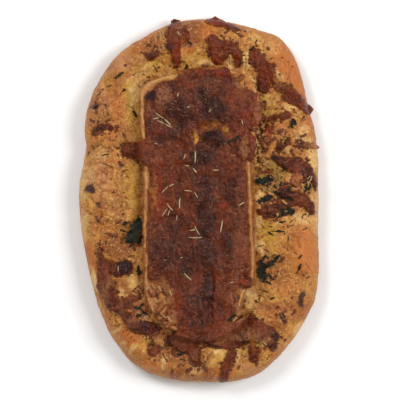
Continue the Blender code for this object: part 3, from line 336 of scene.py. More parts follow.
DARK_NEEDLES = [
    (32.2, 91.3, 2.8, 66), (-8.4, 76.6, 3.6, 80), (49.2, 38.6, 3.0, 70), (59.4, 47.2, 4.0, 50),
    (-25.6, 76, 4.2, -55), (-53.6, 20.4, 4.8, -24), (-54.4, 26, 4.6, 12), (-61.8, 30.6, 3.4, -60),
    (56.6, -40, 4.6, 75), (-20.2, -91, 5.6, -62), (52.6, -14.6, 3.4, 15), (37.6, -52.6, 3.6, -25),
    (-36.8, 49.8, 3.6, -60), (60.6, -16.6, 3.6, 20), (-58.4, 61, 3.4, 40), (43.6, -18.2, 5.6, -9),
    (25.6, 66.6, 3.4, 84), (-64.4, 27, 3.2, 70), (-45.2, 32.2, 3.0, 30), (-57.4, -10.4, 3.2, 60),
    (50.8, -22.6, 3.4, 80), (38.2, -29.2, 3.4, -35), (34.6, -26.6, 3.0, 10), (62.4, -44.6, 2.8, 30),
    (46.6, 12.4, 3.2, 50), (39.4, 17.4, 3.4, -40), (36.2, 29.6, 3.0, 60), (-28.4, 90.6, 3.2, 50),
]
NEEDLE_RADIUS = 0.36
NEEDLE_TAPER = [0.4, 0.8, 1, 1, 1, 0.85, 0.5]

# Shreds of cheese that kept their form: a path of x, y, x, y ... and a radius
PALE_SHREDS = [
    (-29, 97, -26, 94, -25.4, 90.6, 0.6), (-24.4, 98.4, -22.6, 95, -23.2, 91.4, 0.5),
    (-21, 97.2, -20.4, 93.4, 0.6), (-30.6, 92.4, -27.6, 89.6, 0.5), (-22, 89.6, -19.8, 86.8, 0.5),
    (-27.6, -47.4, -25.4, -51, 0.5), (-23.8, -49, -21.6, -52.6, 0.5), (-26.4, -56.4, -23.6, -59.4, 0.55),
    (-20.6, -56, -19.6, -60, 0.5), (-30.2, -47.6, -29, -51.4, 0.6), (-22.8, -64.4, -19, -67.4, 0.6),
    (-28, -60, -25.6, -64.6, 0.55), (-18.6, -66, -15.8, -70, 0.6),
    (-36.6, -50.6, -33.6, -53.4, -33.8, -56.6, 0.6), (-39.4, -53, -36.2, -54.4, 0.6),
    (1.2, 77.4, 4.4, 79.2, 6.8, 77, 0.7), (-5, 78.6, -2.4, 80.8, 0.6), (17, 78, 17.4, 82.8, 0.8),
    (26, 74.6, 26.8, 79, 26, 84.4, 0.6), (-20.4, -88, -17.4, -92.4, 0.6), (-7.4, 97.4, -4.8, 99.4, 0.6),
    (56.4, 39.4, 57, 34.6, 0.6), (-57.4, -20, -55.6, -15.6, 0.6), (-62, 18.4, -59.2, 16.2, 0.6),
    (-44.6, -56.4, -41.8, -53.4, 0.6), (39.4, 4.6, 42.8, 3.2, 1.0), (34.6, -2.4, 36.6, -0.6, 0.8),
    (34.4, 41.6, 37, 44, 0.9), (36, 20.6, 39.6, 22.4, 0.8), (35.4, 43.4, 37.4, 40.6, 0.8),
    (33.6, 36.4, 36.8, 38, 0.8), (34, 30, 34.8, 26.4, 0.8), (47.4, 0.4, 50.4, -2.2, 0.8),
    (59.4, 8.4, 60.6, 4.8, 0.8),
]
# Melted shreds of olive gold, in the same way
GOLD_SHREDS = [
    (41.6, 14, 38.8, 9.8, 0.7), (33.8, 21.4, 36.4, 24.6, 0.7), (50, 36.4, 47.6, 32.4, 0.8),
    (45.4, -7.6, 49.4, -6.4, 53, -6.8, 0.8), (43.8, 17.6, 46, 12.6, 44.6, 8, 0.6),
    (32, -84, 35.6, -81.6, 0.9), (24, -66.6, 28.4, -63.4, 33.4, -62.4, 0.7),
    (-35.4, -64.4, -32.6, -67, 0.8),
]
BROWN_SHREDS = [
    (26.4, 44, 30.4, 40.4, 33.4, 41.4, 1.0), (33.6, 38, 35.4, 33.4, 0.8), (44.6, 39.4, 48, 41.2, 0.9),
    (40, 33.6, 43.4, 36.4, 0.9), (52, 29, 55, 25.6, 0.8), (60.4, 24.4, 63.6, 23, 0.9),
    (46.4, 9, 50.6, 10.4, 0.8), (34.4, 19, 36.6, 15.4, 0.8), (40.6, -0.6, 44.4, 0.6, 0.8),
    (-46.6, 22.4, -44, 19.6, 0.9), (-48.8, -13.4, -45.4, -11, 0.9), (-52, -19.4, -47.4, -20.4, 1.0),
    (-57.6, -27, -57.4, -31, 1.0), (45.4, -66, 49.6, -63.4, 0.9), (-63.6, 47.2, -60.4, 44.8, 0.9),
    (-8, -98.6, -4.4, -96.6, 1.0), (4, -99.4, 1.6, -95.4, 0.8), (52.4, -66.6, 54.8, -62.6, 0.8),
    (-12.6, -84.8, -8.8, -86.8, 1.0), (21.4, 96.2, 25.4, 94.4, 0.9), (-29.6, -51, -27.2, -55.6, 0.6),
    (-24.8, -52.6, -23.6, -57, 0.7), (-21.4, -50, -19.4, -54.6, 0.7), (-25.4, -63.4, -21.8, -66.6, 0.7),
    (47.2, 21, 51.6, 24, 0.9), (50.4, 17.4, 54, 16.6, 0.9), (60.4, 15.6, 61.6, 11.6, 0.9),
    (49.6, 4.4, 53, 2.6, 57, 4.6, 0.9), (36.8, 36.6, 40.4, 31.6, 0.8), (37.8, 15.8, 41.6, 17.6, 0.8),
    (57.2, 36.6, 61.6, 38.4, 0.8), (-38.6, -24.8, -43.4, -24.2, 1.0), (-35.4, 20.6, -38.4, 23.4, 0.9),
    (-56.4, 38.8, -61.2, 37.4, 0.9), (-1.8, -85.4, 3.6, -84.4, 1.0), (38.4, -83.6, 41.4, -80.6, 1.0),
    (-6.4, -91, -2.4, -96, 0.8), (-16.4, -86, -12.6, -90.4, 0.8), (54.6, 34.4, 58.4, 35.4, 0.7),
]

# Soft-edged areas of the crust: x, y, half sizes, strength, and a turn in degrees where there is one
ORANGE_CRUST = [
    (51, 76, 9, 18, 0.9, 28), (60, -30, 9, 17, 0.8), (59, -62, 7, 8, 0.6, -30), (-41, -78, 8, 7, 0.95, -48),
    (-28, -95, 8, 6, 0.7, -14), (-3, 97, 14, 7, 0.9), (-7, 89, 4, 6, 0.8), (-48, 54, 5, 12, 0.7, 8),
    (-32, 91, 9, 5, 0.7, 30), (61, 60, 4, 8, 0.8, 25), (10, -100, 14, 4, 0.7, 4), (44, -84, 7, 4, 0.6, 42),
    (48, -33, 5, 8, 0.5), (-56, 38, 10, 6, 0.7), (38, 96, 12, 3, 0.3, -14), (-54, -68, 4, 8, 0.6, 22),
    (46, 40, 7, 5, 0.5), (-66, -36, 3.4, 14, 0.6, 12), (67, 6, 3, 9, 0.7), (40, -62, 9, 5, 0.6),
    (-47, -25, 12, 7, 0.7), (-56, -14, 6, 8, 0.5), (50, -50, 10, 6, 0.6), (44, -70, 6, 6, 0.6),
    (-50, 26, 7, 6, 0.4), (-16, -90, 12, 5, 0.5), (-44, 30, 5, 5, 0.5), (-14, -101, 4, 5, 1),
    (-40, -52, 3, 2, 0.7), (-52, -64, 3, 4, 0.8, 30), (56, 11, 5, 5, 0.5), (56, 60, 5, 9, 0.4, 20),
    (40, -2, 8, 8, 0.5), (39, 33, 4, 5, 0.5), (62, 42, 4, 9, 0.6, 14), (-18, 84, 7, 5, 0.3),
    (-63.4, -33, 4, 12, 0.8, 14),
]
YELLOW_CRUST = [
    (-40, 58, 5, 15, 0.8, 4), (-39, 6, 7, 17, 0.8), (38, -19, 7, 9, 0.9), (42, -28, 6, 6, 0.7),
    (0, 81, 11, 5, 0.8), (10, -88, 7, 5, 0.55), (38, 55, 6, 7, 0.8), (42, 14, 8, 7, 0.9),
    (-28, 79, 14, 7, 0.7, 24), (36, -44, 5, 6, 0.5), (50, -52, 10, 6, 0.4), (35, 12, 3, 14, 0.8),
    (-28, -80, 6, 3, 0.7), (-40, -47, 7, 6, 0.7), (24, -86, 6, 3, 0.6), (-44, 34, 10, 5, 0.4, 10),
    (35, 36, 3, 8, 0.6), (48, 22, 5, 4, 0.5), (34, -57, 8, 7, 0.6), (45, 50, 6, 5, 0.5),
    (-46, 50, 4, 8, 0.5), (-37, 40, 3, 10, 0.5),
]
# Pale areas of the crust: pale crumb and flour, and painted highlights on swells and along the right rim
PALE_CRUST_AND_HIGHLIGHTS = [
    (65, 24, 5, 8, 0.6), (60, -10, 9, 5, 0.5), (17.4, 80, 1.6, 5, 0.8), (27, 79.6, 2.2, 6, 0.8, -5),
    (30.4, 66, 3, 8, 0.8, 22), (28, -56, 6, 8, 0.5), (-57, 27, 10, 4, 0.3), (-62, 16, 3, 5, 0.4),
    (-39, -47, 5, 5, 0.4), (58, -74, 6, 3, 0.6, 40), (48, -83, 5, 2.6, 0.3, 40), (20.6, -90, 1.8, 5, 0.5),
    (-61.5, -45, 1.6, 8, 0.7, 14), (32, 92, 5, 4, 0.4, -30), (42, 88, 7, 4, 0.3, -35),
    (4, 79, 7, 2.6, 0.5, 8), (60, 40, 4, 4, 0.5, 20), (-45, -54, 1.6, 4, 0.5, 20),
    (-34, 72, 12, 4, 0.35, 30), (57, 35, 3.4, 2.6, 0.8), (-67, 12, 3.4, 16, 0.55), (48, 30, 5, 4, 0.35),
    (63, 34, 3, 3, 0.5), (-21.6, -94, 1.2, 6, 0.6, 10), (-38, -86, 2, 4, 0.5, -40),
    (-44, -83, 2, 3, 0.4, -40), (52, 53, 5, 4, 0.4, 30), (67, -4, 3.4, 18, 0.5), (35, -27, 2.6, 6, 0.7),
    (34.6, -12, 2, 8, 0.6), (34, 30, 2, 9, 0.7), (35, 42, 3, 4, 0.7), (-26, -98, 8, 4, 0.2, -14),
    (-58, -62, 2, 7, 0.3, 24), (45, 72, 2, 6, 0.5, 30), (-48, -74, 2, 4, 0.5, -40), (-37, 62, 3, 8, 0.6),
    (-67.4, -14, 3.4, 12, 0.55), (35, 0, 1.6, 5, 0.6), (-2, -96, 6, 5, 0.4), (24, 70, 6, 4, 0.5, 20),
    (8, -94, 2, 4, 0.3), (11, -86.6, 4.4, 3, 0.6), (40, 58, 4, 4, 0.3), (-37, 60, 2.6, 9, 0.6, -20),
    (-36, 62, 3, 8, 0.7, -24),
]
PINK_CRUST = [
    (-58, 12, 7, 14, 0.7), (-43, 80, 6, 6, 0.9, 40), (-58, 60, 5, 11, 0.8, 20), (-64, -32, 4, 12, 0.35, 14),
    (-10, -101, 12, 3, 0.5), (30, -98, 10, 4, 0.7, -14), (-60, 46, 5, 6, 0.6), (-49, -4, 6, 8, 0.4),
    (62, -46, 4, 10, 0.3), (-26, 92, 6, 5, 0.6, 30), (56, 11, 5.4, 5.6, 0.9), (-42, -88, 5, 3, 0.7, -40),
    (-54, -70, 3, 6, 0.7, 26), (-52, 78, 5, 6, 0.5, 40), (-20, -92, 6, 4, 0.5), (60, 66, 4, 8, 0.4, 30),
    (-30, 84, 8, 5, 0.4, 30), (50, -40, 6, 6, 0.3),
]
# Browned areas of the crust; those in the gap along the slab's left side are painted shade
STAINED_AND_SHADED_CRUST = [
    (41, 14, 8, 9, 0.75), (43, -2, 8, 7, 0.9), (60, 3, 7, 7, 0.4), (-39, -22, 7, 6, 0.8),
    (-48, -26, 11, 7, 0.8), (44, 38, 5, 5, 0.5), (57, -56, 4, 8, 0.4), (47, -69, 6, 7, 0.6),
    (-57, -10, 6, 7, 0.5), (38, -40, 5, 8, 0.6), (-14, -90, 12, 5, 0.8), (-57, 42, 7, 4, 0.5),
    (-60, 54, 6, 6, 0.45), (14, 92, 9, 9, 0.25), (-27, 88, 8, 6, 0.75), (0, -97, 7, 5, 0.35),
    (52, 30, 9, 6, 0.4), (-42, 36, 7, 8, 0.5), (-64, 30, 4, 4, 0.3), (31, -89, 5, 5, 0.6),
    (-6, 95, 8, 8, 0.85), (-36, 80, 8, 6, 0.5, 30), (-35, -47, 3, 6, 0.5), (-41, -51.6, 3, 2, 0.8),
    (-52, 60, 5, 6, 0.3), (-46, 70, 6, 6, 0.5), (46, -43, 8, 9, 0.6), (-56, 22, 6, 6, 0.4),
    (-34.6, 6, 2.4, 18, 0.7), (-46, 10, 5, 8, 0.4), (44, -84, 6, 4, 0.5, 30), (-46, -4, 6, 8, 0.5),
    (54, -64, 8, 8, 0.5), (56, 92, 6, 6, 0.4), (-34, -64, 6, 5, 1, 20), (-14, -102, 4, 4, 0.7),
    (-28, -91, 5, 3, 0.4, -40), (-48, 42, 5, 4, 0.4), (40, 10, 3, 3, 0.8), (40, -61, 8, 3, 0.7, 10),
    (46, 7, 4, 4, 0.9), (38, -8, 5, 3, 0.8), (52, -1, 8, 5, 0.8), (-24, -78, 8, 6, 0.75),
    (-26, -72, 5, 4, 0.6), (-3, -91, 8, 5, 0.8), (52, -30, 3, 6, 0.3), (44, 22, 4, 4, 0.5),
    (56, -22, 6, 4, 0.4), (-52, -2, 5, 4, 0.4), (-2, -103, 8, 3, 0.4), (48, 44, 5, 4, 0.3),
    (36, 30, 4, 9, 0.5), (30, -60, 3, 3, 0.4), (38, -52, 4, 3, 0.5), (58, -44, 4, 4, 0.4),
    (-10, -98, 6, 4, 0.7), (-46, -30, 8, 5, 0.9), (-45, -50, 4, 5, 0.7), (36, 78, 4, 4, 0.2),
    (5, -99, 5, 4, 0.6), (-4, 99, 6, 4, 0.8), (14, 80, 4, 4, 0.5), (-64, -34, 3, 10, 0.25, 14),
    (-46, -12, 6, 6, 0.5), (5, -90, 4, 4, 0.6), (-20, -91, 8, 4, 0.45), (46, 79, 4, 6, 0.3),
    (-2, 99, 8, 4, 0.6), (56, -56, 6, 10, 0.35), (-34, 11, 4, 6, 0.5), (-4, 100, 5, 5, 0.9),
    (-57, 47, 5, 3, 0.5), (-58, 58, 4, 4, 0.6), (-55, 17, 6, 2.4, 0.4, 20), (-50, -4, 3, 3, 0.5),
    (-60, 8, 3, 3, 0.5), (-35, 24, 3, 3, 0.4), (-20, 93, 5, 5, 0.3), (-37, 84, 5, 4, 0.4),
]
# Folds of the crust: lines of x, y, x, y ...
CRUST_FOLDS = [
    (-37, -75, -40, -80, -45, -85), (-33, -86, -36, -90, -39, -93), (-24, -86, -23, -93, -20, -100),
    (-15, -91, -16, -97, -18, -104), (-7, -96, -8, -104), (3, -97, 3.6, -104),
    (-50, -66, -53, -71, -57, -72), (-46, -72, -50, -76, -51, -80), (-31, 97, -28, 91, -29, 86),
    (-25, 98, -23, 91), (52, -20, 56, -22, 58, -28), (42, -72, 48, -76, 52, -78),
    (-64, 30, -58, 31.4, -52, 29), (30, -93, 34, -97), (50, 66, 52, 74, 50, 80),
    (-60, -14, -57, -10, -58, -4), (-46, 84, -41, 78, -36, 76), (38, -58, 44, -62, 46, -68),
]
# Small soft swellings of the crust: x, y, half sizes and height
SOFT_BUNS = [
    (-38, -80, 4, 5, 0.9), (-49, -73, 3.4, 5, 0.7), (-29, -95, 4.4, 4.4, 1.0), (-43, 81, 5, 6, 0.5),
    (-13.6, -101, 3.6, 4, 0.9), (-54, 58, 5, 7, 0.5), (54, 84, 6, 7, 0.5), (60, 66, 4, 7, 0.5),
    (28, -96, 6, 4, 0.5), (62, -40, 4, 8, 0.5), (-62, -38, 3.4, 9, 0.5), (-46, 52, 4, 7, 0.6),
    (40, -20, 4, 6, 0.6), (-1, -100, 3, 4, 0.6), (-44, -84, 3, 4, 0.6), (-54, -66, 3, 5, 0.6),
    (57, 35, 3, 3, 0.7), (-42, -51, 3, 3, 0.7), (55, -25, 5, 6, 0.5), (8, -99, 4, 5, 0.5),
]
SCORCHED_CRUST = [
    (-63.6, 6.4, 2.6, 3.4, 0.95, 10), (-61.6, 53.6, 3.4, 1.8, 0.9, 20), (58.8, -57, 1.9, 5.2, 0.95, -12),
    (48.4, -68.6, 1.4, 3.4, 0.8, 30), (2.6, -96, 1.4, 2.2, 0.7), (-58, 37.6, 3, 1.2, 0.5),
    (-57.6, -2.6, 1.4, 2.8, 0.6, -20), (-59.4, -12, 1.4, 2.4, 0.7, 20), (21, -88, 1.6, 1.4, 0.4),
    (-44.6, 19.6, 2, 1.6, 0.5), (57.4, 25.2, 1.4, 1, 0.4), (63.4, -7, 1.6, 1.2, 0.4),
]
SMOOTH_CRUST = [
    (52, 76, 11, 19, 1, 28), (61, -29, 8, 15, 1), (-44, -79, 14, 7, 0.6, -48), (-28, -96, 8, 5, 0.6, -14),
    (-43, 81, 6, 6, 1, 40), (-65, -32, 5, 14, 1, 14), (-37, 8, 7, 14, 0.6), (24, -99, 16, 5, 0.8, -8),
    (60, -76, 8, 7, 0.7, 40), (62, 22, 6, 9, 0.5), (-38, -48, 6, 5, 0.6), (-40, 56, 6, 14, 0.5),
]
# Parts of the crust with more flecks than the rest, and grainier parts of the browned cheese
FLECKED_CRUST = [(-50, 0, 13, 26, 0.8), (-52, -46, 6, 8, 0.6), (-52, 52, 6, 8, 0.4)]
GRAINY_CHEESE = [
    (21, -36, 8, 34, 1), (-25, -26, 7, 26, 1), (15, 22, 9, 9, 0.8), (5, 65, 9, 5, 0.8),
    (-25, 22, 5, 7, 0.7), (25, 6, 4, 10, 0.6), (5, -4, 5, 8, 0.5), (5, 14, 5, 8, 0.6), (-6, 34, 8, 5, 0.6),
]
# Parts of the rind that are duller than its pale crest
DULL_RIND = [
    (29.6, -14, 5, 40, 0.5), (-31, -54, 5, 8, 0.6), (-21, -70, 8, 7, 0.9), (26, 70, 10, 8, 0.6),
    (-32, -30, 4, 16, 0.35), (30, -5, 4, 60, 0.3),
]
# The melted corners of the slab, and where amber fat stands on them
MELTED_CORNER_TONES = [(-26, -58, 8, 12, 1, 10), (26, 69, 8, 6, 0.7, 30)]
AMBER_CORNER = [(26, 69, 8, 6, 0.9, 30)]
# Parts of the slab's edge that lie softly against the crust
SOFT_EDGE = [(-31, 61, 7, 9, 1), (-20, 72, 10, 5, 1, 20)]
# Where the cheese has crept past the solid's edge or drawn back from it, by how many millimetres
CREPT_CHEESE = [
    (-30.4, -30, 4, 18, 1.0), (28.4, -14, 3, 36, 0.5), (-47, -48, 3.4, 9, 1.8), (-5, 97, 5, 7, 3.4),
    (10, 103, 6, 4, 0.8), (-30, 40, 3, 18, 0.5), (14, -86, 8, 4, 0.8), (-16, -84, 6, 5, 0.8),
    (30, -90, 5, 4, 1.6), (-13, 76.4, 2.4, 3, 2.0), (-23, -71, 5, 3, 1.0, -40), (15, 86.4, 3, 3.4, 1),
    (6, 102, 8, 4, 1.4), (64.6, 52, 4, 4, 1.1), (15.4, -103, 2.4, 4, 0.7),
]
DRAWN_BACK = [
    (24.5, -57, 4, 6, 2.0), (30, 66, 5, 5, 1.2, 30), (44, 69, 3, 6, 1.6, 30), (-33, -66, 5, 3, 1.8, 30),
    (26, 76, 2, 5, 1.0), (36, 30, 3, 8, 0.8), (22, -66, 5, 1.6, 0.6, 20), (40, 80, 3, 4, 0.8, 30),
    (-47.6, -69, 8, 4, 3.0, -42), (2, -92, 3, 5, 1.6), (-9, -90, 3, 4, 1.0), (40, -70, 4, 3, 1.4),
    (-58.6, -58, 3, 7, 1.6, 20), (-30, 65, 4, 5, 1.1), (26.4, -53, 4, 4, 1.4), (44.6, -83, 3, 4, 1.2),
    (4, 82, 2, 6, 1.0), (16, 79, 2.2, 3.4, 0.7), (36, 58.6, 4, 3, 1.5), (25.6, -53.4, 3.6, 7, 3.2, 20),
    (34, 78.6, 2.4, 3, 0.8),
]
# Frayed strands of the blanket over the melted corners, as strokes of x, y and half-width
FRAYED_EDGE = [
    [(-17, -49, 3.0), (-23, -52, 1.7), (-28, -55.6, 0.9)],
    [(-16, -57, 3.0), (-21.6, -60, 1.7), (-25.6, -65.6, 0.9)], [(-18, -53, 2.0), (-26.4, -49.4, 1.1)],
    [(-15, -63, 2.0), (-19.4, -66, 1.1)], [(19, 66, 2.0), (25, 71.6, 1.0)],
    [(24, 62, 2.0), (29.6, 66.4, 0.9)], [(-15, -68, 3.0), (-18.6, -72.6, 1.4)],
    [(-13, -66, 3), (-21.4, -68.6, 1.0)],
]
# The thin glowing arc over the hollow in the blanket: x, y and half-width
EYE_ARC = [
    (-5, 33.5, 2.4), (-3, 38.6, 3.0), (1, 41.6, 3.2), (8, 43.6, 3.4), (14, 41.4, 3.8), (18.5, 37, 3.0),
]
EYE_LIGHTS = [(-2.4, 35.2, 2.2, 3.0, 0.75), (7, 42.4, 5, 1.8, 0.22, 10), (15, 40, 3.4, 2.4, 0.28)]

# Soft-edged areas of the browned cheese
RED_CHEESE = [
    (22, 57, 10, 9, 0.3), (31, 53, 4, 9, 0.5), (-25, 14, 5, 5, 0.5), (14, -3, 3, 3, 0.6),
    (25, -46, 4, 2.6, 0.8), (-14, -60, 7, 14, 0.4, 10), (24, 36, 8, 6, 0.4), (-16, 20, 14, 3, 0.3),
    (-22, -4, 6, 10, 0.3), (-14, 84, 3, 8, 0.8), (9, 82, 5, 3, 0.6), (22, 82, 2, 4, 0.6),
    (32, 82, 3.6, 3, 0.8), (14, -44, 9, 4, 0.3), (30, 46, 5, 4, 0.5), (10, -58, 5, 9, 0.3),
    (-8, 76, 4, 1.6, 0.6), (8, 73, 14, 3, 0.5), (38, 36, 4, 6, 1), (54, 14, 4, 5, 0.5),
    (14, -79, 10, 4, 0.5), (38, 72, 5, 8, 0.4, 30), (6, 91, 8, 6, 0.5), (-12, 94, 8, 8, 0.5),
    (8, 104, 14, 5, 0.6), (52, 60, 5, 6, 0.4, 40), (16, -92, 4, 8, 0.4), (33, 60, 2, 3, 0.8),
    (29, 64, 2, 1.6, 0.8), (30, 41, 2, 2, 0.9), (26, 50, 2, 2, 0.7), (-24.6, 4, 3, 12, 0.6),
]
TAN_CHEESE = [
    (-22, -56, 6, 11, 0.7, -12), (-16, -64, 4, 6, 0.3, 20), (-26, -49, 4, 3, 0.7), (25, 68, 6, 4, 0.6, 30),
    (-19, -70, 4, 3, 0.4), (23, -60, 2.4, 5, 0.6), (-26, 4, 2.4, 10, 0.35), (-36, -68, 5, 2, 0.5, 30),
    (36, -82, 6, 3.4, 0.9), (31, -80, 4, 3, 0.7), (25, -66, 7, 3, 0.8, 20), (-12, 100, 4, 2, 0.4),
    (20, -79, 7, 3, 0.5), (46, 64, 3, 4, 0.4, 30), (-55, -54, 4, 7, 0.5), (12, -82, 6, 2, 0.5),
    (27, -76, 5, 3, 0.5), (-29, 56, 1.4, 6, 0.5, -14), (-34, -51, 4, 4, 0.7), (-3, -89, 4, 5, 0.35),
    (37, 34, 4, 6, 0.9), (62, 31, 3, 3, 0.5), (19, -56, 4, 7, 0.3), (34, 50, 3, 8, 0.4),
    (-21, 60, 5, 6, 0.5), (57, 0, 5, 4, 0.25), (26, 31, 3, 6, 0.6), (-16, -70, 4, 5, 0.6),
    (66, 31, 3, 2, 0.6), (-52, -48, 4, 5, 0.5), (37, -70, 4, 3, 0.6),
]
# Baked peach-coloured lumps and tips in the browned cheese
PEACH_CHEESE = [
    (56, 11.6, 3.6, 4.6, 0.6), (67, 30.6, 3, 2, 0.5), (41, 1.6, 3, 3, 0.6), (44.6, 69, 1.6, 4, 0.6, 30),
    (36, -83, 3, 2, 0.5),
]
# Plum and dark areas of the browned cheese; in the pit at the slab's upper left corner and in the hollow
# under the glowing arc they are painted shade as well
PLUM_CHEESE = [
    (-28.4, 59.6, 2.8, 5, 1, -30), (-43, -38.6, 4.6, 4, 0.9), (7, 37, 6, 3, 0.7), (50, 4, 5, 3.4, 0.9),
    (-22, -22, 4, 5, 0.3), (4, -14, 4, 22, 0.3), (-12, 54, 6, 7, 0.3), (22.4, -54, 1.6, 3.2, 0.7),
    (44, 24, 2.4, 2, 0.9), (4, 56, 4, 9, 0.35), (-32, -71, 5, 4, 0.5, 30), (50, -3, 8, 2.6, 0.5),
    (-50, -56, 4, 5, 0.4),
]
DARK_CHEESE = [
    (4, -14, 6, 34, 0.7), (3, -62, 6, 12, 0.6), (8, 52, 7, 9, 0.9), (-28.4, 59.6, 2.8, 4.4, 1, -30),
    (8, 34, 8, 5, 0.9), (-11, -88.6, 4, 3, 0.9), (-43, -38.6, 5, 4.4, 1), (-20, -30, 10, 12, 0.6),
    (-14, 52, 8, 7, 0.7), (18, -24, 8, 14, 0.5), (-18, 36, 9, 3, 0.5), (22.4, -54, 1.6, 3.2, 0.7),
    (-9, 12, 3, 5, 0.4), (-27.4, -30, 3.4, 9, 0.5), (44, 24, 2, 2, 0.9), (0, 62, 4, 8, 0.5),
    (11, 92, 3, 2.4, 0.5), (37, 5, 3, 2, 0.5), (-46, -47, 4, 4, 0.5), (-32, -71, 5, 3, 0.5, 30),
    (20, 6, 5, 12, 0.5), (-12, 6, 5, 9, 0.4), (12, 16, 5, 6, 0.5), (-14, -14, 7, 8, 0.5),
    (2, 26, 7, 7, 0.8), (50, -6, 8, 3, 0.4), (-6, -36, 8, 9, 0.6), (40, -82, 3, 4, 0.5),
    (-8, 47, 8, 6, 0.7), (-8, -50, 6, 6, 0.3), (15, 44, 6, 6, 0.4), (-18, 20, 6, 4, 0.3),
    (5, -50, 4.6, 14, 0.8), (10, -60, 4, 8, 0.5), (13, 40, 8, 5, 0.4), (15, -34, 5, 10, 0.35),
]
# Pinkish areas of the browned cheese: partly pinkish cheese, partly a painted sheen on the tops of lumps
PINK_CHEESE_AND_SHEEN = [
    (24, 2, 4, 18, 0.5), (23, -28, 5, 14, 0.7), (-12, -52, 5, 9, 0.3, -14), (10, 12, 6, 8, 0.2),
    (-55, -49, 4.6, 8, 0.9), (-46, -61, 4, 4, 0.5), (14, -52, 3, 8, 0.3), (-14, 96, 4, 6, 0.6),
    (57, 20, 5, 4, 0.3), (8, 90, 4, 4, 0.4), (-40, 29, 4, 3, 0.4), (34, -76, 9, 5, 0.6),
    (-26, -86, 3, 2, 0.6), (40, -5, 5, 3, 0.4), (15.4, -97, 2, 5, 0.3), (-22, -22, 6, 6, 0.3),
    (-38, -70, 6, 4, 0.6, 30), (-6, -80, 6, 4, 0.4), (-24, 52, 4, 9, 0.5, -20), (20, -72, 8, 6, 0.6),
    (25, 60, 7, 6, 0.5), (21, -50, 5, 8, 0.6), (-12, -80, 5, 4, 0.6), (-38, -56, 4, 4, 0.6),
    (-22, 64, 6, 4, 0.5, 20), (5, 68, 12, 4, 0.4), (33, 52, 3, 8, 0.5), (10, -79, 9, 4, 0.5),
    (56, 0, 6, 3, 0.2), (-56, -42, 3, 5, 0.6), (30, 82, 4, 5, 0.4),
]
GOLD_CHEESE = [
    (30, -82, 2.6, 3, 0.7), (36, -84, 4, 1.6, 0.5, -20), (-21, -60, 2, 5, 0.4, 10),
    (-18.5, -70, 3, 2, 0.5, -30), (-12, 74, 5, 1.4, 0.7, 14), (13, 85.4, 1.2, 2, 0.4),
    (25, -64, 3, 1.2, 0.4, 20), (25.6, 22, 1.4, 8, 0.35), (-35, -66, 3, 1.6, 0.5, 30), (31, 40, 2, 3, 0.5),
    (4, 76, 11, 1.2, 0.7), (44, 72, 2, 2, 0.4), (-20, 96, 1.6, 4, 0.4), (-26.6, 4, 1.8, 12, 0.6),
    (37, 35, 2, 3, 0.5),
]
SMOOTH_CHEESE = [
    (22, 57, 10, 9, 1), (-28.4, 59.6, 3, 5, 1, -30), (22, -67, 5, 2.4, 0.7, 20), (14, 11, 6, 8, 0.6),
    (-10, -44, 10, 6, 0.6), (7, -38, 8, 8, 0.5), (-38, -74, 6, 3, 0.4), (-16, -60, 6, 10, 0.7, 10),
    (8, 56, 6, 9, 0.7), (-20, 38, 8, 3, 0.6), (20, -20, 6, 12, 0.5), (56, 11, 4, 5, 0.9),
    (-22, -24, 6, 8, 0.5), (4, 0, 5, 10, 0.5), (12, -56, 5, 9, 0.6), (-10, 30, 8, 4, 0.5),
    (-22, -2, 5, 8, 0.4), (-12, 54, 6, 6, 0.4),
]

# Browned blotches on the sides of the bread and of the slab: size, strength and seed
BREAD_SIDE_BLOTCHES = [(12, 0.6, 37), (4.5, 0.4, 38)]
SLAB_SIDE_BLOTCHES = [(7, 0.7, 53), (3, 0.4, 54)]

# Colours, as on a screen
GOLDEN_CRUST, DEEP_CRUST = "cc9042", "9a602a"
ORANGE, YELLOW, PALE, PINK = "b4662a", "b4862e", "d8b070", "b67c4e"
# STAIN_AND_SHADE browns real stains and flecks, and is also painted as shade in hollows, creases and at the
# slab's foot
STAIN_AND_SHADE, SCORCH, UNDERSIDE = "844a1e", "42261c", "8c5626"
SCAB, DUST = "96522a", "40260f"
RIND_CREST, RIND_SHADE, RIND_SIDE = "be8a4e", "9a5a2a", "c49456"
CORNER_TAN, CORNER_GOLD = "9c6438", "b8742e"
BROWNED, BROWNED_DARK, BROWNED_RED = "6a2a12", "30130b", "7c2b13"
# BROWNED_PINK_SHEEN is a pinkish cheese tone that also stands for a painted sheen
BROWNED_PINK_SHEEN, BROWNED_TAN, PLUM = "763e26", "94603a", "2e1619"
# CREASE_SHADE_AND_SEAR darkens the cheese's creases: painted shade, with a little searing
PEACH, MELTED_GOLD, CREASE_SHADE_AND_SEAR = "a86a3e", "905018", "1a0a06"
TOASTED_CURD, GLINT, EYE_GOLD = "8a4618", "b08c74", "c08a38"
# A dark and a light tone for each of the small things
LEAF_TONES = "0c0e0a", "26281a"
STRAW_TONES = "8c7650", "ccb88c"
CHIP_TONES = "54301a", "3e3018"
GOLD_MELT_TONES = "6e4a1c", "a67c38"
GOLD_SHRED_TONES = "6e4a1e", "9c7636"
PALE_SHRED_TONES = "8c5a30", "bc8c58"
BROWN_SHRED_TONES = "38180c", "7a3a18"
FIBRE_TONES = "5e3c2a", "8a6650"
FAT_TONES = "4c2416", "7a3c20"
# Lumps to the metre in the mottling of the crust and of the cheese
CRUST_FINENESS = 420.0
CHEESE_FINENESS = 600.0

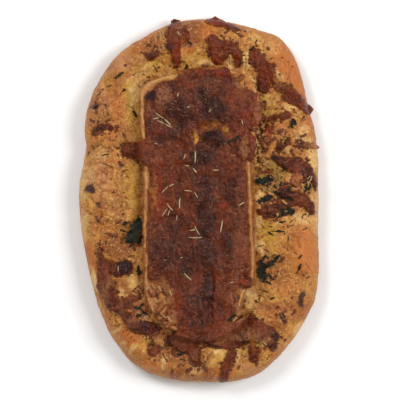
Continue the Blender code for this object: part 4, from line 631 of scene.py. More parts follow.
# How fine the meshes are
CRUST_SEGMENTS = 840
CRUST_SIDE_RINGS = 14
CRUST_EDGE_INSETS = [0, 0.12, 0.35, 0.7, 1.15, 1.7, 2.3, 2.9]
CRUST_RING_STEP = 0.62
CRUST_RING_REACH = 39.0
CRUST_INNER_SHARES = [0.4, 0.3, 0.15, 0.03]
SLAB_SEGMENTS = 800
SLAB_SIDE_RINGS = 16
SLAB_EDGE_INSETS = [0.05, 0.2, 0.42, 0.7]
SLAB_RING_STEP = 0.6
SLAB_RING_REACH = 19.0
SLAB_INNER_SHARES = [0.3, 0.05]
BLANKET_STEP = 0.5
CHEESE_STEP = 0.42
FINE_LINE = 720
SPLINE_PARTS = 24
SHRED_PARTS = 12
BIT_SIDES = 7
FIELD_MARGIN = 5.0
FIELD_STEP = 0.3

# How many small things there are
FLAKES_ON_CRUST = 560
STALKS_ON_CRUST = 460
FLAKES_ON_BLANKET = 130
CRUMBS = 420
FAT_BEADS = 520
FIBRES = 110
FIBRE_TAPER = [0.4, 0.9, 1, 1, 0.9, 0.4]

# The picture: how wide it is at the bread, and the camera's lens and sensor
VIEW_WIDTH = 232.0
LENS = 300.0
SENSOR = 36.0


def rgb(code):
    """A screen colour code as the linear colour that shaders take."""
    parts = [int(code[k : k + 2], 16) / 255 for k in (0, 2, 4)]
    return tuple(p / 12.92 if p < 0.04045 else ((p + 0.055) / 1.055) ** 2.4 for p in parts) + (1.0,)


# Lines, distances and noise


def closed_spline(points, count):
    """`count` points spaced evenly along a smooth closed curve through `points`."""
    p = np.array(points, float)
    before, after, beyond = np.roll(p, 1, 0), np.roll(p, -1, 0), np.roll(p, -2, 0)
    parts = []
    for t in np.linspace(0, 1, SPLINE_PARTS, endpoint=False):
        square = 2 * before - 5 * p + 4 * after - beyond
        cube = 3 * p - before - 3 * after + beyond
        parts.append(0.5 * (2 * p + (after - before) * t + square * t**2 + cube * t**3))
    curve = np.stack(parts, 1).reshape(-1, 2)
    curve = np.vstack([curve, curve[:1]])
    along = np.concatenate([[0], np.cumsum(np.linalg.norm(np.diff(curve, axis=0), axis=1))])
    places = np.linspace(0, along[-1], count, endpoint=False)
    return np.stack([np.interp(places, along, curve[:, k]) for k in range(2)], 1)


class PlanShape:
    """A closed line round the origin that tells how far inside it a place lies."""

    def __init__(self, points):
        line = closed_spline(points, FINE_LINE)
        tangent = np.roll(line, -1, 0) - np.roll(line, 1, 0)
        tangent /= np.linalg.norm(tangent, axis=1)[:, None]
        normal = np.stack([tangent[:, 1], -tangent[:, 0]], 1)
        angle = np.arctan2(line[:, 1], line[:, 0])
        order = np.argsort(angle)
        self.angle = angle[order]
        self.radius = np.linalg.norm(line, axis=1)[order]
        self.reach = (line * normal).sum(1)[order]

    def reach_at(self, x, y):
        """Distance from the origin to the line's tangent on the far side of a place."""
        return np.interp(np.arctan2(y, x), self.angle, self.reach, period=2 * math.pi)

    def inset(self, x, y):
        """Distance in from the line, negative outside it."""
        radius = np.interp(np.arctan2(y, x), self.angle, self.radius, period=2 * math.pi)
        return (1 - np.hypot(x, y) / radius) * self.reach_at(x, y)

    def moved_in(self, line, inset):
        """A copy of the line's points, moved in by `inset`."""
        return line * (1 - inset / self.reach_at(line[:, 0], line[:, 1]))[:, None]


BREAD = PlanShape(OUTLINE)
SLAB = PlanShape(SLAB_OUTLINE)


def lattice(column, row, seed):
    """A repeatable number from -1 to 1 for each whole-number place."""
    n = (column * 374761393 + row * 668265263 + seed * 974634777) & 0xFFFFFFFF
    n = ((n ^ (n >> 13)) * 1274126177) & 0xFFFFFFFF
    return ((n ^ (n >> 16)) & 0xFFFF) / 32767.5 - 1


def noise(x, y, size, seed):
    """Smooth lumps about `size` mm across, from -1 to 1."""
    u, v = np.asarray(x) / size, np.asarray(y) / size
    column, row = np.floor(u).astype(np.int64), np.floor(v).astype(np.int64)
    a, b = u - column, v - row
    a, b = a * a * (3 - 2 * a), b * b * (3 - 2 * b)
    low = lattice(column, row, seed) * (1 - a) + lattice(column + 1, row, seed) * a
    high = lattice(column, row + 1, seed) * (1 - a) + lattice(column + 1, row + 1, seed) * a
    return low * (1 - b) + high * b


def turned(x, y, degrees):
    """The same place in axes that are turned."""
    c, s = math.cos(math.radians(degrees)), math.sin(math.radians(degrees))
    return x * c + y * s, y * c - x * s


def grain(x, y, z, layers):
    """Lumps in all three directions: layers of a lump size, height and seed, each turned another way."""
    total = 0
    for size, height, seed in layers:
        u, v = turned(x, y, 31 * seed)
        v, w = turned(v, z, 17 * seed)
        level = np.floor(w / size).astype(np.int64)
        share = w / size - level
        share = share * share * (3 - 2 * share)
        low, high = noise(u, v, size, seed + 57 * level), noise(u, v, size, seed + 57 * (level + 1))
        total = total + height * (low * (1 - share) + high * share)
    return total


def curds(u, v, seed):
    """Scattered grains one unit apart: distance to the nearest, distance on to the next, and its tone."""
    column, row = np.floor(u).astype(np.int64), np.floor(v).astype(np.int64)
    nearest = np.full(np.shape(u), 9.0)
    second = np.full(np.shape(u), 9.0)
    tone = np.zeros(np.shape(u))
    for di in (-1, 0, 1):
        for dj in (-1, 0, 1):
            i, j = column + di, row + dj
            off_u = u - i - 0.5 - CURD_SCATTER * lattice(i, j, seed)
            off_v = v - j - 0.5 - CURD_SCATTER * lattice(i, j, seed + 1)
            away = np.hypot(off_u, off_v)
            tone = np.where(away < nearest, lattice(i, j, seed + 2), tone)
            second = np.minimum(second, np.maximum(away, nearest))
            nearest = np.minimum(nearest, away)
    return nearest, second - nearest, tone * 0.5 + 0.5


def relief(x, y, layers):
    """Layers of noise, each of a lump size, height and seed."""
    return sum(height * noise(x, y, size, seed) for size, height, seed in layers)


def bump(x, y, cx, cy, half_x, half_y):
    """1 at a place, falling away round it."""
    return np.exp(-(((x - cx) / half_x) ** 2) - ((y - cy) / half_y) ** 2)


def smooth_step(value, start, end):
    """0 before start and 1 after end, with a soft rise between."""
    t = np.clip((value - start) / (end - start), 0, 1)
    return t * t * (3 - 2 * t)


def stroke_distance(x, y, stroke):
    """Distance outside a chain of round-ended strokes of x, y, radius; negative inside."""
    distances = []
    for (x0, y0, r0), (x1, y1, r1) in zip(stroke, stroke[1:]):
        dx, dy = x1 - x0, y1 - y0
        t = np.clip(((x - x0) * dx + (y - y0) * dy) / (dx * dx + dy * dy), 0, 1)
        distances.append(np.hypot(x - x0 - t * dx, y - y0 - t * dy) - r0 - t * (r1 - r0))
    return np.min(distances, axis=0)


def strokes_distance(x, y, strokes):
    """Distance outside the nearest of several strokes."""
    return np.min([stroke_distance(x, y, stroke) for stroke in strokes], axis=0)


def ridge(x, y, line, half):
    """1 along a line of x, y, x, y ..., falling away to both sides."""
    away = stroke_distance(x, y, [(px, py, 0) for px, py in np.reshape(line, (-1, 2))])
    return np.exp(-((away / half) ** 2))


def areas(x, y, spots):
    """How strongly a place lies in soft-edged areas with ragged outlines, from 0 to 1."""
    x = x + 1.3 * noise(x, y, 5.2, 61) + 0.7 * noise(x, y, 2.3, 62)
    y = y + 1.3 * noise(x, y, 5.2, 63) + 0.7 * noise(x, y, 2.3, 64)
    found = np.zeros(np.shape(x))
    for cx, cy, half_x, half_y, strength, *turn in spots:
        u, v = turned(x - cx, y - cy, *turn) if turn else (x - cx, y - cy)
        away = np.hypot(u / half_x, v / half_y)
        found = np.maximum(found, strength * (1 - smooth_step(away, 0.5, 1.35)))
    return found


def rounded_lip(inside, shoulder, lip, thickness):
    """Thickness of melted cheese, from its lip at the edge to its full depth."""
    depth = np.clip(inside / shoulder, 0, 1)
    return lip + (thickness - lip) * np.sqrt(depth * (2 - depth)), depth


class Field:
    """Values over the plan of the bread, kept on a fine grid and read between its points."""

    def __init__(self):
        self.low = -np.abs(OUTLINE).max(0) - FIELD_MARGIN
        counts = np.ceil(-2 * self.low / FIELD_STEP).astype(int) + 1
        sides = [low + FIELD_STEP * np.arange(count) for low, count in zip(self.low, counts)]
        self.x, self.y = np.meshgrid(*sides, indexing="ij")
        self.values = np.zeros(self.x.shape)

    def add_bump(self, cx, cy, half_x, half_y, height):
        """Adds a bump to the values round a place."""
        reach = 3 * max(half_x, half_y)
        i, j = ((cx - self.low[0]) / FIELD_STEP, (cy - self.low[1]) / FIELD_STEP)
        span = reach / FIELD_STEP
        near = np.s_[max(int(i - span), 0) : int(i + span) + 1, max(int(j - span), 0) : int(j + span) + 1]
        self.values[near] += height * bump(self.x[near], self.y[near], cx, cy, half_x, half_y)

    def __call__(self, x, y):
        u = np.clip((np.asarray(x, float) - self.low[0]) / FIELD_STEP, 0, self.values.shape[0] - 1.001)
        v = np.clip((np.asarray(y, float) - self.low[1]) / FIELD_STEP, 0, self.values.shape[1] - 1.001)
        i, j = u.astype(int), v.astype(int)
        a, b = u - i, v - j
        low = self.values[i, j] * (1 - a) + self.values[i + 1, j] * a
        high = self.values[i, j + 1] * (1 - a) + self.values[i + 1, j + 1] * a
        return low * (1 - b) + high * b


def draw_places(count, seed, chance):
    """A seeded draw of places over the bread, kept by a chance that varies from place to place."""
    draw = np.random.default_rng(seed)
    reach = np.abs(OUTLINE).max(0)
    found = draw.uniform(-reach, reach, (80 * count, 2))
    return found[draw.uniform(0, 1, len(found)) < chance(*found.T)][:count]


def open_crust(x, y):
    """1 on the crust's upper side, clear of the slab and of its outer edge."""
    return smooth_step(BREAD.inset(x, y), 3, 5) * smooth_step(-SLAB.inset(x, y), 0, 1.5)


def make_crust_marks():
    """Blisters and pores of the baked dough."""
    marks = Field()
    draw = np.random.default_rng(70)
    for count, seed, radii, squeezes, heights in CRUST_MARKS:
        for x, y in draw_places(count, seed, open_crust):
            radius = draw.uniform(*radii)
            marks.add_bump(x, y, radius, radius * draw.uniform(*squeezes), draw.uniform(*heights))
    return marks


crust_marks = make_crust_marks()


# The forms


def bread_height(x, y):
    """Height of the crust's upper side, as the solid has it."""
    inset = BREAD.inset(x, y)
    fall = 1 - np.clip(inset / SHOULDER_WIDTH, 0, 1)
    shoulder = (1 - fall**SHOULDER_POWER) ** (1 / SHOULDER_POWER)
    beside_slab = np.maximum(-SLAB.inset(x, y), 0)
    trough = TROUGH_DEPTH * np.exp(-((beside_slab / TROUGH_WIDTH) ** 2))
    lumps = relief(x, y, CRUST_RELIEF)
    for cx, cy, radius, height in SWELLS:
        lumps = lumps + height * bump(x, y, cx, cy, radius, radius)
    for *line, half, depth in CREASES:
        lumps = lumps - depth * ridge(x, y, line, half)
    body = WIDEST_HEIGHT + (RIM_HEIGHT - WIDEST_HEIGHT) * shoulder
    return body - trough + lumps * smooth_step(inset, 0, SMOOTH_EDGE)


def crumb_texture(x, y):
    """Scabs of baked cheese dust and crumb on the crust: their height, and how browned each is."""
    u, v = turned(x + 1.2 * noise(x, y, 4, 76), y + 1.2 * noise(x, y, 4, 77), 35)
    near, gap, tone = curds(u / 2.2, v / 2.2, 78)
    patch = smooth_step(noise(x, y, 9, 81), -0.45, 0.3)
    scab = smooth_step(tone, 0.5, 0.75) * patch
    height = 0.5 * scab * (1 - near**2) - 0.3 * patch * (1 - smooth_step(gap, 0.0, 0.22))
    return height, scab * smooth_step(gap, 0.02, 0.2)


def wrinkles(x, y):
    """Fine broken wrinkles of the crust, from 0 to 1."""
    found = np.zeros(np.shape(x))
    for size, turn, seed in WRINKLES:
        u, v = turned(x, y, turn)
        line = 1 - smooth_step(np.abs(noise(u, v / 1.7, size, seed)), 0, WRINKLE_WIDTH / size)
        found = np.maximum(found, line * smooth_step(noise(x, y, 7, seed + 1), -0.1, 0.5))
    return found


def fold_depth(x, y):
    """Folds of the crust, from 0 to 1."""
    x, y = x + 0.7 * noise(x, y, 3, 87), y + 0.7 * noise(x, y, 3, 88)
    return np.max([ridge(x, y, line, FOLD_WIDTH) for line in CRUST_FOLDS], axis=0)


def make_crust_detail():
    """How far the crust's blisters, pores, scabs, wrinkles and folds stand out."""
    field = Field()
    x, y = field.x, field.y
    rough = 1 - 0.8 * areas(x, y, SMOOTH_CRUST)
    crumble = relief(*turned(x, y, 23), CRUST_CRUMBLE)
    detail = (crust_marks(x, y) + crumble + crumb_texture(x, y)[0]) * rough + relief(x, y, CRUST_SWAY)
    for cx, cy, half_x, half_y, height in SOFT_BUNS:
        detail = detail + height * bump(x, y, cx, cy, half_x, half_y)
    detail = detail - WRINKLE_DEPTH * wrinkles(x, y) - FOLD_DEPTH * fold_depth(x, y)
    field.values = detail * smooth_step(BREAD.inset(x, y), 0.5, 5)
    return field


crust_detail = make_crust_detail()


def crust_height(x, y):
    """Height of the baked crust, with all its marks."""
    return bread_height(x, y) + crust_detail(x, y)


def slab_level(x, y):
    """Height of the slab's top without its rind: level, but sagging at the melted corners."""
    z = np.full(np.shape(x), SLAB_TOP)
    for cx, cy, radius, sag in MELTED_CORNERS:
        z = z - sag * bump(x, y, cx, cy, radius, radius)
    return z


def slab_shoulder(x, y):
    """How far the soft outer edge of the rind has rounded off."""
    inset = np.clip(SLAB.inset(x, y) / SLAB_ROUNDING, 0, 1)
    return SLAB_ROUNDING * (1 - np.sqrt(1 - (1 - inset) ** 2))


def slab_height(x, y):
    """Height of the slab's top, with its standing rind and the folds of the melted corners."""
    from_crest = (SLAB.inset(x, y) - RIND_WIDTH / 2) / (RIND_WIDTH / 2)
    corner = areas(x, y, MELTED_CORNER_TONES)
    z = slab_level(x, y) + RIND_HEIGHT * np.exp(-(from_crest**2)) * (1 - 0.8 * corner)
    for *line, half, height in SLAB_FOLDS:
        z = z + height * ridge(x, y, line, half) * (0.5 + 0.5 * noise(x, y, 2.4, 96))
    return z + 1.1 * corner * melted_texture(x, y, *CORNER_TEXTURE)[0]


def slab_top(x, y):
    """The same with its outer edge rounded off."""
    return slab_height(x, y) - slab_shoulder(x, y)


def melted_texture(x, y, stretch, seed):
    """Browned grated cheese close up: height; how dark its creases are, for painted shade; its toast, with
    painted highlights on the curd tops; and spots for painted glints.
    """
    u = x + 2.4 * noise(x, y, 8, seed) + 0.9 * noise(x, y, 3.2, seed + 1)
    v = y + 2.4 * noise(x, y, 8, seed + 2) + 0.9 * noise(x, y, 3.2, seed + 3)
    u, v = turned(u, v, 10)
    size = 2.6 + 0.7 * noise(x, y, 12, seed + 4)
    near, gap, tone = curds(u / size, v / (size * stretch), seed + 5)
    small, small_gap, small_tone = curds(u / 1.2 + 7, v / 1.6, seed + 6)
    strand = 1 - 2.4 * np.abs(noise(u, v / (1.6 * stretch), 2.8, seed + 7))
    curdy = smooth_step(noise(x, y, 7, seed + 8), -0.5, 0.35)
    stringy = 1 - curdy
    dome = 1 - small**2
    crease = 1 - smooth_step(gap, 0.0, 0.22)
    fine_crease = 1 - smooth_step(small_gap, 0, 0.25)
    height = curdy * (0.6 * (1 - near**2) - 0.3 * crease) + stringy * 0.4 * strand
    height = height + (0.24 * dome - 0.12 * fine_crease) * (0.25 + 0.75 * small_tone)
    # Creases and the gaps between strands are darker: painted shade
    dark = curdy * crease * 0.7 + stringy * smooth_step(-strand, 0.1, 0.9) * 0.6
    dark = np.clip(dark + 0.25 * fine_crease * small_tone, 0, 1)
    # The domes of the small curds are lighter: a painted highlight on top of the toast
    toast_and_highlight = 0.5 * tone + 0.1 * small_tone + 0.3 * (0.5 + 0.5 * strand) + 0.2 * dome * small_tone
    # Painted glints: pale spots on the tops of small curds and the crests of strands
    wet = smooth_step(dome * small_tone, 0.55, 0.9) + 0.6 * stringy * smooth_step(strand, 0.75, 0.95)
    wet = np.clip(wet * smooth_step(noise(x, y, 5, seed + 9), -0.4, 0.7), 0, 1)
    return height, dark, toast_and_highlight, wet


def blanket_distance(x, y):
    """Distance outside the edge of the browned cheese on the slab; negative inside."""
    outside = BLANKET_MARGIN - SLAB.inset(x, y)
    for cx, cy, radius in BARE_PATCHES:
        outside = np.maximum(outside, radius - np.hypot(x - cx, y - cy))
    return np.minimum(outside, strokes_distance(x, y, SPILLS))


def drawn_in(x, y):
    """How far the cheese has drawn back, as it does down the bread's side; below 0 where it crept out."""
    fall = 1 - np.clip(BREAD.inset(x, y) / SHOULDER_WIDTH, 0, 1)
    drop = (RIM_HEIGHT - WIDEST_HEIGHT) * (1 - (1 - fall**SHOULDER_POWER) ** (1 / SHOULDER_POWER))
    tapered = DRIP_TAPER * np.maximum(drop - DRIP_START, 0)
    return areas(x, y, DRAWN_BACK) - areas(x, y, CREPT_CHEESE) + tapered


def ragged_blanket_distance(x, y):
    """The same with the frayed edge of melted shreds."""
    outside = np.minimum(blanket_distance(x, y), strokes_distance(x, y, FRAYED_EDGE))
    return outside + relief(*turned(x, y, 40), BLANKET_EDGE) + drawn_in(x, y)


def blanket_base(x, y):
    """Height of what the blanket lies on: the slab and its rind, then down its side to the crust."""
    inset = SLAB.inset(x, y)
    on_slab = smooth_step(inset, *DRAPE)
    over_rind = RIND_HEIGHT * (1 - smooth_step(inset, RIND_WIDTH, RIND_WIDTH + RIND_BRIDGE))
    return crust_height(x, y) * (1 - on_slab) + (slab_level(x, y) + over_rind) * on_slab


def blanket_height(x, y):
    """Height of the browned cheese over the slab."""
    inside = -ragged_blanket_distance(x, y)
    body, depth = rounded_lip(inside, BLANKET_SHOULDER, BLANKET_LIP, BLANKET_THICKNESS)
    lumps = relief(x, y, BLANKET_RELIEF)
    for cx, cy, half_x, half_y, height in BLANKET_LUMPS:
        lumps = lumps + height * bump(x, y, cx, cy, half_x, half_y)
    for *line, half, height in BLANKET_CREASES:
        lumps = lumps - height * ridge(x, y, line, half)
    rough = 0.95 - 0.7 * areas(x, y, SMOOTH_CHEESE)
    texture = melted_texture(x, y, *BLANKET_TEXTURE)[0]
    thin = BLANKET_LIP - BLANKET_THICKNESS
    z = blanket_base(x, y) + body + np.maximum((lumps - 0.2 + (1.3 * texture - 0.35) * rough) * depth, thin)
    over = np.maximum(z - BLANKET_CEILING + CEILING_GIVE, 0)
    return z - over + CEILING_GIVE * np.tanh(over / CEILING_GIVE)


def cheese_distance(strokes):
    """The distance function of one patch of cheese, with its ragged edge."""

    def distance(x, y):
        return strokes_distance(x, y, strokes) + relief(x, y, CHEESE_EDGE) + drawn_in(x, y)

    return distance


def cheese_height(distance, thickness=CHEESE_THICKNESS):
    """The height function of one patch of cheese on the crust."""

    def height(x, y):
        body, depth = rounded_lip(-distance(x, y), CHEESE_SHOULDER, CHEESE_LIP, thickness)
        rough = (1.1 - 0.85 * areas(x, y, SMOOTH_CHEESE)) * thickness / CHEESE_THICKNESS
        texture = melted_texture(x, y, *PATCH_TEXTURE)[0]
        return crust_height(x, y) + body + (relief(x, y, CHEESE_RELIEF) + texture - 0.35) * rough * depth

    return height


def all_patches():
    """The strokes and the thickness of every patch, scrap and melt on the crust."""
    patches = [(strokes, CHEESE_THICKNESS) for strokes in CHEESE.values()]
    patches += [(strokes, SCRAP_THICKNESS) for strokes in MELTED_SCRAPS.values()]
    return patches + [(GOLD_MELT, GOLD_THICKNESS)]


def make_nearest_cheese():
    """Distance outside the nearest browned cheese."""
    nearest = Field()
    distances = [strokes_distance(nearest.x, nearest.y, strokes) for strokes, _ in all_patches()]
    nearest.values = np.min(distances + [blanket_distance(nearest.x, nearest.y)], axis=0)
    return nearest


nearest_cheese = make_nearest_cheese()


def nearness(distance, reach):
    """1 at an edge and inside it, falling to 0 over `reach` outside it."""
    return 1 - smooth_step(distance, 0, reach)


def make_resting_height():
    """Height of whatever is uppermost at a place: crust, slab or cheese."""
    surface = Field()
    x, y = surface.x, surface.y
    z = crust_height(x, y)
    z = np.where(SLAB.inset(x, y) > 0, np.maximum(z, slab_height(x, y)), z)
    z = np.where(ragged_blanket_distance(x, y) < 0, np.maximum(z, blanket_height(x, y)), z)
    near = nearest_cheese(x, y) < 2
    px, py = x[near], y[near]
    for strokes, thickness in all_patches():
        distance = cheese_distance(strokes)
        level = np.maximum(z[near], cheese_height(distance, thickness)(px, py))
        z[near] = np.where(distance(px, py) < 0, level, z[near])
    surface.values = z
    return surface


resting_height = make_resting_height()


# Meshes


def new_piece(name, points, faces, finish, nodes=()):
    """A piece from points in millimetres that rides on the bread and stands for the named solids."""
    mesh = bpy.data.meshes.new(name)
    mesh.from_pydata((np.asarray(points, float) * MM).tolist(), [], faces)
    mesh.shade_smooth()
    mesh.materials.append(finish)
    piece = bpy.data.objects.new(name, mesh)
    bpy.context.scene.collection.objects.link(piece)
    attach(piece, "root")
    if nodes:
        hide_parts(*nodes)
    return piece


def places_of(piece):
    """The x, y and z of a piece's points in millimetres."""
    flat = np.zeros(len(piece.data.vertices) * 3, np.float32)
    piece.data.vertices.foreach_get("co", flat)
    return flat.reshape(-1, 3).astype(float).T / MM


def roughen(piece, layers, share=1.0, on_sides=()):
    """Moves a piece's points in and out by a grain, steep sides by one more, and keeps a mask of the hollows
    for painted shade.
    """
    x, y, z = places_of(piece)
    normals = np.zeros(len(x) * 3, np.float32)
    piece.data.vertex_normals.foreach_get("vector", normals)
    normals = normals.reshape(-1, 3)
    steep = 1 - smooth_step(np.abs(normals[:, 2]), 0.25, 0.75)
    moves = grain(x, y, z, layers) * share + grain(x, y, z, on_sides) * steep
    points = np.stack([x, y, z], 1) + normals * moves[:, None]
    piece.data.vertices.foreach_set("co", (points * MM).astype(np.float32).ravel())
    piece.data.update()
    reach = sum(height for _, height, _ in layers)
    paint(piece, hollow=np.clip(0.5 - moves / (2 * reach), 0, 1))


def paint(piece, **masks):
    """Keeps masks on the piece's points for its finish to read."""
    for name, values in masks.items():
        mask = piece.data.attributes.new(name, "FLOAT", "POINT")
        mask.data.foreach_set("value", np.broadcast_to(values, len(piece.data.vertices)).astype(np.float32))


def ring_insets(edge, step, reach):
    """How far in each ring of a top lies: close together at its edge, then a step apart."""
    return edge + list(np.arange(edge[-1] + step, reach, step))


def top_rings(shape, line, insets, shares, height):
    """The rings of a top: its edge line moved in by each inset, then shrunk to each share."""
    plans = [shape.moved_in(line, inset) for inset in insets] + [line * share for share in shares]
    return [np.column_stack([plan, height(*plan.T)]) for plan in plans]


def ring_piece(name, rings, finish, nodes):
    """A closed piece from rings of equal count, from the bottom to the middle of the top."""
    count = len(rings[0])
    points = np.vstack(rings)
    low = np.arange(count)
    after = np.roll(low, -1)
    faces = [tuple(low[::-1].tolist())]
    for k in range(len(rings) - 1):
        a, b = low + k * count, after + k * count
        faces += np.stack([a, b, b + count, a + count], 1).tolist()
    faces.append((low + (len(rings) - 1) * count).tolist())
    return new_piece(name, points, faces, finish, nodes)


def grid_inside(distance, low, high, step):
    """Plan points on a grid and its cells inside a line; the outermost points are moved onto the line."""
    columns, rows = (int(math.ceil((b - a) / step)) + 1 for a, b in zip(low, high))
    x, y = np.meshgrid(low[0] + step * np.arange(columns), low[1] + step * np.arange(rows), indexing="ij")
    probe, gentlest, snap, keep = 0.05, 0.25, 0.55 * step, 0.25 * step
    for _ in range(2):
        away = distance(x, y)
        slope_x = (distance(x + probe, y) - away) / probe
        slope_y = (distance(x, y + probe) - away) / probe
        move = np.where(np.abs(away) < snap, away / np.maximum(slope_x**2 + slope_y**2, gentlest), 0)
        move = np.clip(move, -snap, snap)
        x, y = x - move * slope_x, y - move * slope_y
    inside = distance(x, y) < keep
    cells = inside[:-1, :-1] & inside[1:, :-1] & inside[:-1, 1:] & inside[1:, 1:]
    return x, y, without_pinches(cells)


def without_pinches(cells):
    """The cells, with more of them where two would meet at a corner alone."""
    cells = cells.copy()
    while True:
        a, b, c, d = cells[:-1, :-1], cells[1:, :-1], cells[:-1, 1:], cells[1:, 1:]
        pinched = np.argwhere((a & d & ~b & ~c) | (b & c & ~a & ~d))
        if not len(pinched):
            return cells
        for i, j in pinched:
            cells[i : i + 2, j : j + 2] = True


def layer_piece(name, x, y, cells, top, bottom, finish, nodes):
    """A closed layer of cheese over the cells, between two height surfaces."""
    used = np.zeros(x.shape, bool)
    for di in (0, 1):
        for dj in (0, 1):
            used[di : x.shape[0] - 1 + di, dj : x.shape[1] - 1 + dj] |= cells
    total = int(used.sum())
    index = np.full(x.shape, -1)
    index[used] = np.arange(total)
    a, b = index[:-1, :-1], index[1:, :-1]
    d, c = index[:-1, 1:], index[1:, 1:]
    upper = np.stack([a[cells], b[cells], c[cells], d[cells]], 1)
    faces = upper.tolist() + (upper[:, ::-1] + total).tolist()
    framed = np.pad(cells, 1)
    beyond_sides = framed[1:-1, :-2], framed[2:, 1:-1], framed[1:-1, 2:], framed[:-2, 1:-1]
    for start, end, beyond in zip((a, b, c, d), (b, c, d, a), beyond_sides):
        open_side = cells & ~beyond
        p, q = start[open_side], end[open_side]
        faces += np.stack([p, p + total, q + total, q], 1).tolist()
    px, py = x[used], y[used]
    points = np.vstack([np.column_stack([px, py, surface(px, py)]) for surface in (top, bottom)])
    return new_piece(name, points, faces, finish, nodes)


class Bits:
    """Many small closed bits that are gathered into one piece."""

    def __init__(self):
        self.points, self.faces = [], []

    def add_rings(self, rings):
        """One bit from rings of points, each going round the same way, closed at both ends."""
        count, start = len(rings[0]), len(self.points)
        for ring in rings:
            self.points += [tuple(map(float, p)) for p in ring]
        for k in range(len(rings) - 1):
            for i in range(count):
                a, b = start + k * count + i, start + k * count + (i + 1) % count
                self.faces.append((a, b, b + count, a + count))
        self.faces.append(tuple(range(start, start + count))[::-1])
        self.faces.append(tuple(range(start + (len(rings) - 1) * count, start + len(rings) * count)))

    def piece(self, name, finish, slot, nodes=()):
        """The one piece of all the bits."""
        return new_piece(name, self.points, self.faces, finish, nodes)


def tube(bits, path, radii, flat, sides):
    """A strand along a path of x, y, z, with a radius at each point, flattened to lie down."""
    path = np.asarray(path, float)
    rings = []
    for k, (centre, radius) in enumerate(zip(path, radii)):
        ahead = path[min(k + 1, len(path) - 1)] - path[max(k - 1, 0)]
        ahead /= np.linalg.norm(ahead)
        side = np.cross(ahead, (0, 0, 1))
        side /= np.linalg.norm(side)
        up = np.cross(side, ahead)
        turns = 2 * np.pi * np.arange(sides) / sides
        rings.append(centre + radius * (np.outer(np.cos(turns), side) + flat * np.outer(np.sin(turns), up)))
    bits.add_rings(rings)


def along_path(path, count):
    """`count` points spaced evenly along a smooth open line through x, y, x, y ..."""
    p = np.reshape(path, (-1, 2)).astype(float)
    if len(p) == 2:
        bend = np.array([p[1, 1] - p[0, 1], p[0, 0] - p[1, 0]]) * 0.12
        p = np.array([p[0], (p[0] + p[1]) / 2 + bend, p[1]])
    t = np.linspace(0, len(p) - 1, count)
    degree = len(p) - 1
    return np.stack([np.polyval(np.polyfit(np.arange(len(p)), p[:, k], degree), t) for k in range(2)], 1)


# Finishes


class Finish:
    """The node tree of a material or of a shared effect, with short calls that add a node and join it up."""

    def __init__(self, tree):
        self.tree = tree

    def feed(self, socket, value):
        """Joins an output to a socket, or sets the socket's own value."""
        if isinstance(value, bpy.types.NodeSocket):
            self.tree.links.new(value, socket)
        else:
            socket.default_value = value

    def add(self, kind, inputs=None, **settings):
        """A new node with its settings and inputs."""
        node = self.tree.nodes.new(kind)
        for key, value in settings.items():
            setattr(node, key, value)
        for key, value in (inputs or {}).items():
            self.feed(node.inputs[key], value)
        return node

    def mix(self, factor, first, second):
        """The first colour, or the second where the factor is 1."""
        return self.add("ShaderNodeMix", {0: factor, 6: first, 7: second}, data_type="RGBA").outputs[2]

    def math(self, operation, first, second, clamp=False):
        """One sum of two values."""
        node = self.add("ShaderNodeMath", {0: first, 1: second}, operation=operation, use_clamp=clamp)
        return node.outputs[0]

    def spread(self, value, low, high, to_low=0.0, to_high=1.0):
        """A value stretched from one range to another and held inside it."""
        inputs = {"Value": value, "From Min": low, "From Max": high, "To Min": to_low, "To Max": to_high}
        return self.add("ShaderNodeMapRange", inputs, clamp=True).outputs["Result"]

    def cloud(self, place, fineness, detail, roughness=0.5):
        """Cloudy noise with so many lumps to the metre."""
        inputs = {"Vector": place, "Scale": fineness, "Detail": detail, "Roughness": roughness}
        return self.add("ShaderNodeTexNoise", inputs).outputs["Fac"]

    def lumps(self, place, size, detail=3.0, roughness=0.55):
        """Cloudy noise whose lumps are about `size` millimetres across."""
        return self.cloud(place, 1 / (size * MM), detail, roughness)

    def use(self, effect, inputs):
        """The outputs of a shared effect."""
        return self.add("ShaderNodeGroup", inputs, node_tree=effect).outputs


def effect_group(name, inputs, outputs):
    """An empty shared effect with named sockets."""
    group = bpy.data.node_groups.new(name, "ShaderNodeTree")
    for socket, kind in inputs:
        group.interface.new_socket(socket, in_out="INPUT", socket_type=kind)
    for socket, kind in outputs:
        group.interface.new_socket(socket, in_out="OUTPUT", socket_type=kind)
    effect = Finish(group)
    return group, effect, effect.add("NodeGroupInput").outputs, effect.add("NodeGroupOutput").inputs


FLOAT, COLOUR, VECTOR = "NodeSocketFloat", "NodeSocketColor", "NodeSocketVector"


def make_patchy_stain():
    """Lays a colour over another where a mask is strong, with an edge that breaks up into fine patches."""
    inputs = [("Place", VECTOR), ("Colour", COLOUR), ("Stain", COLOUR), ("Amount", FLOAT)]
    group, effect, given, result = effect_group("patchy_stain", inputs, [("Colour", COLOUR)])
    cloud = effect.lumps(given["Place"], 1.7, 4.0, 0.62)
    ragged = effect.math("MULTIPLY", effect.math("SUBTRACT", cloud, 0.5), 1.5)
    broken = effect.spread(effect.math("ADD", given["Amount"], ragged), 0.15, 0.85)
    kept = effect.math("MULTIPLY", broken, effect.spread(given["Amount"], 0.0, 0.25))
    effect.feed(result["Colour"], effect.mix(kept, given["Colour"], given["Stain"]))
    return group


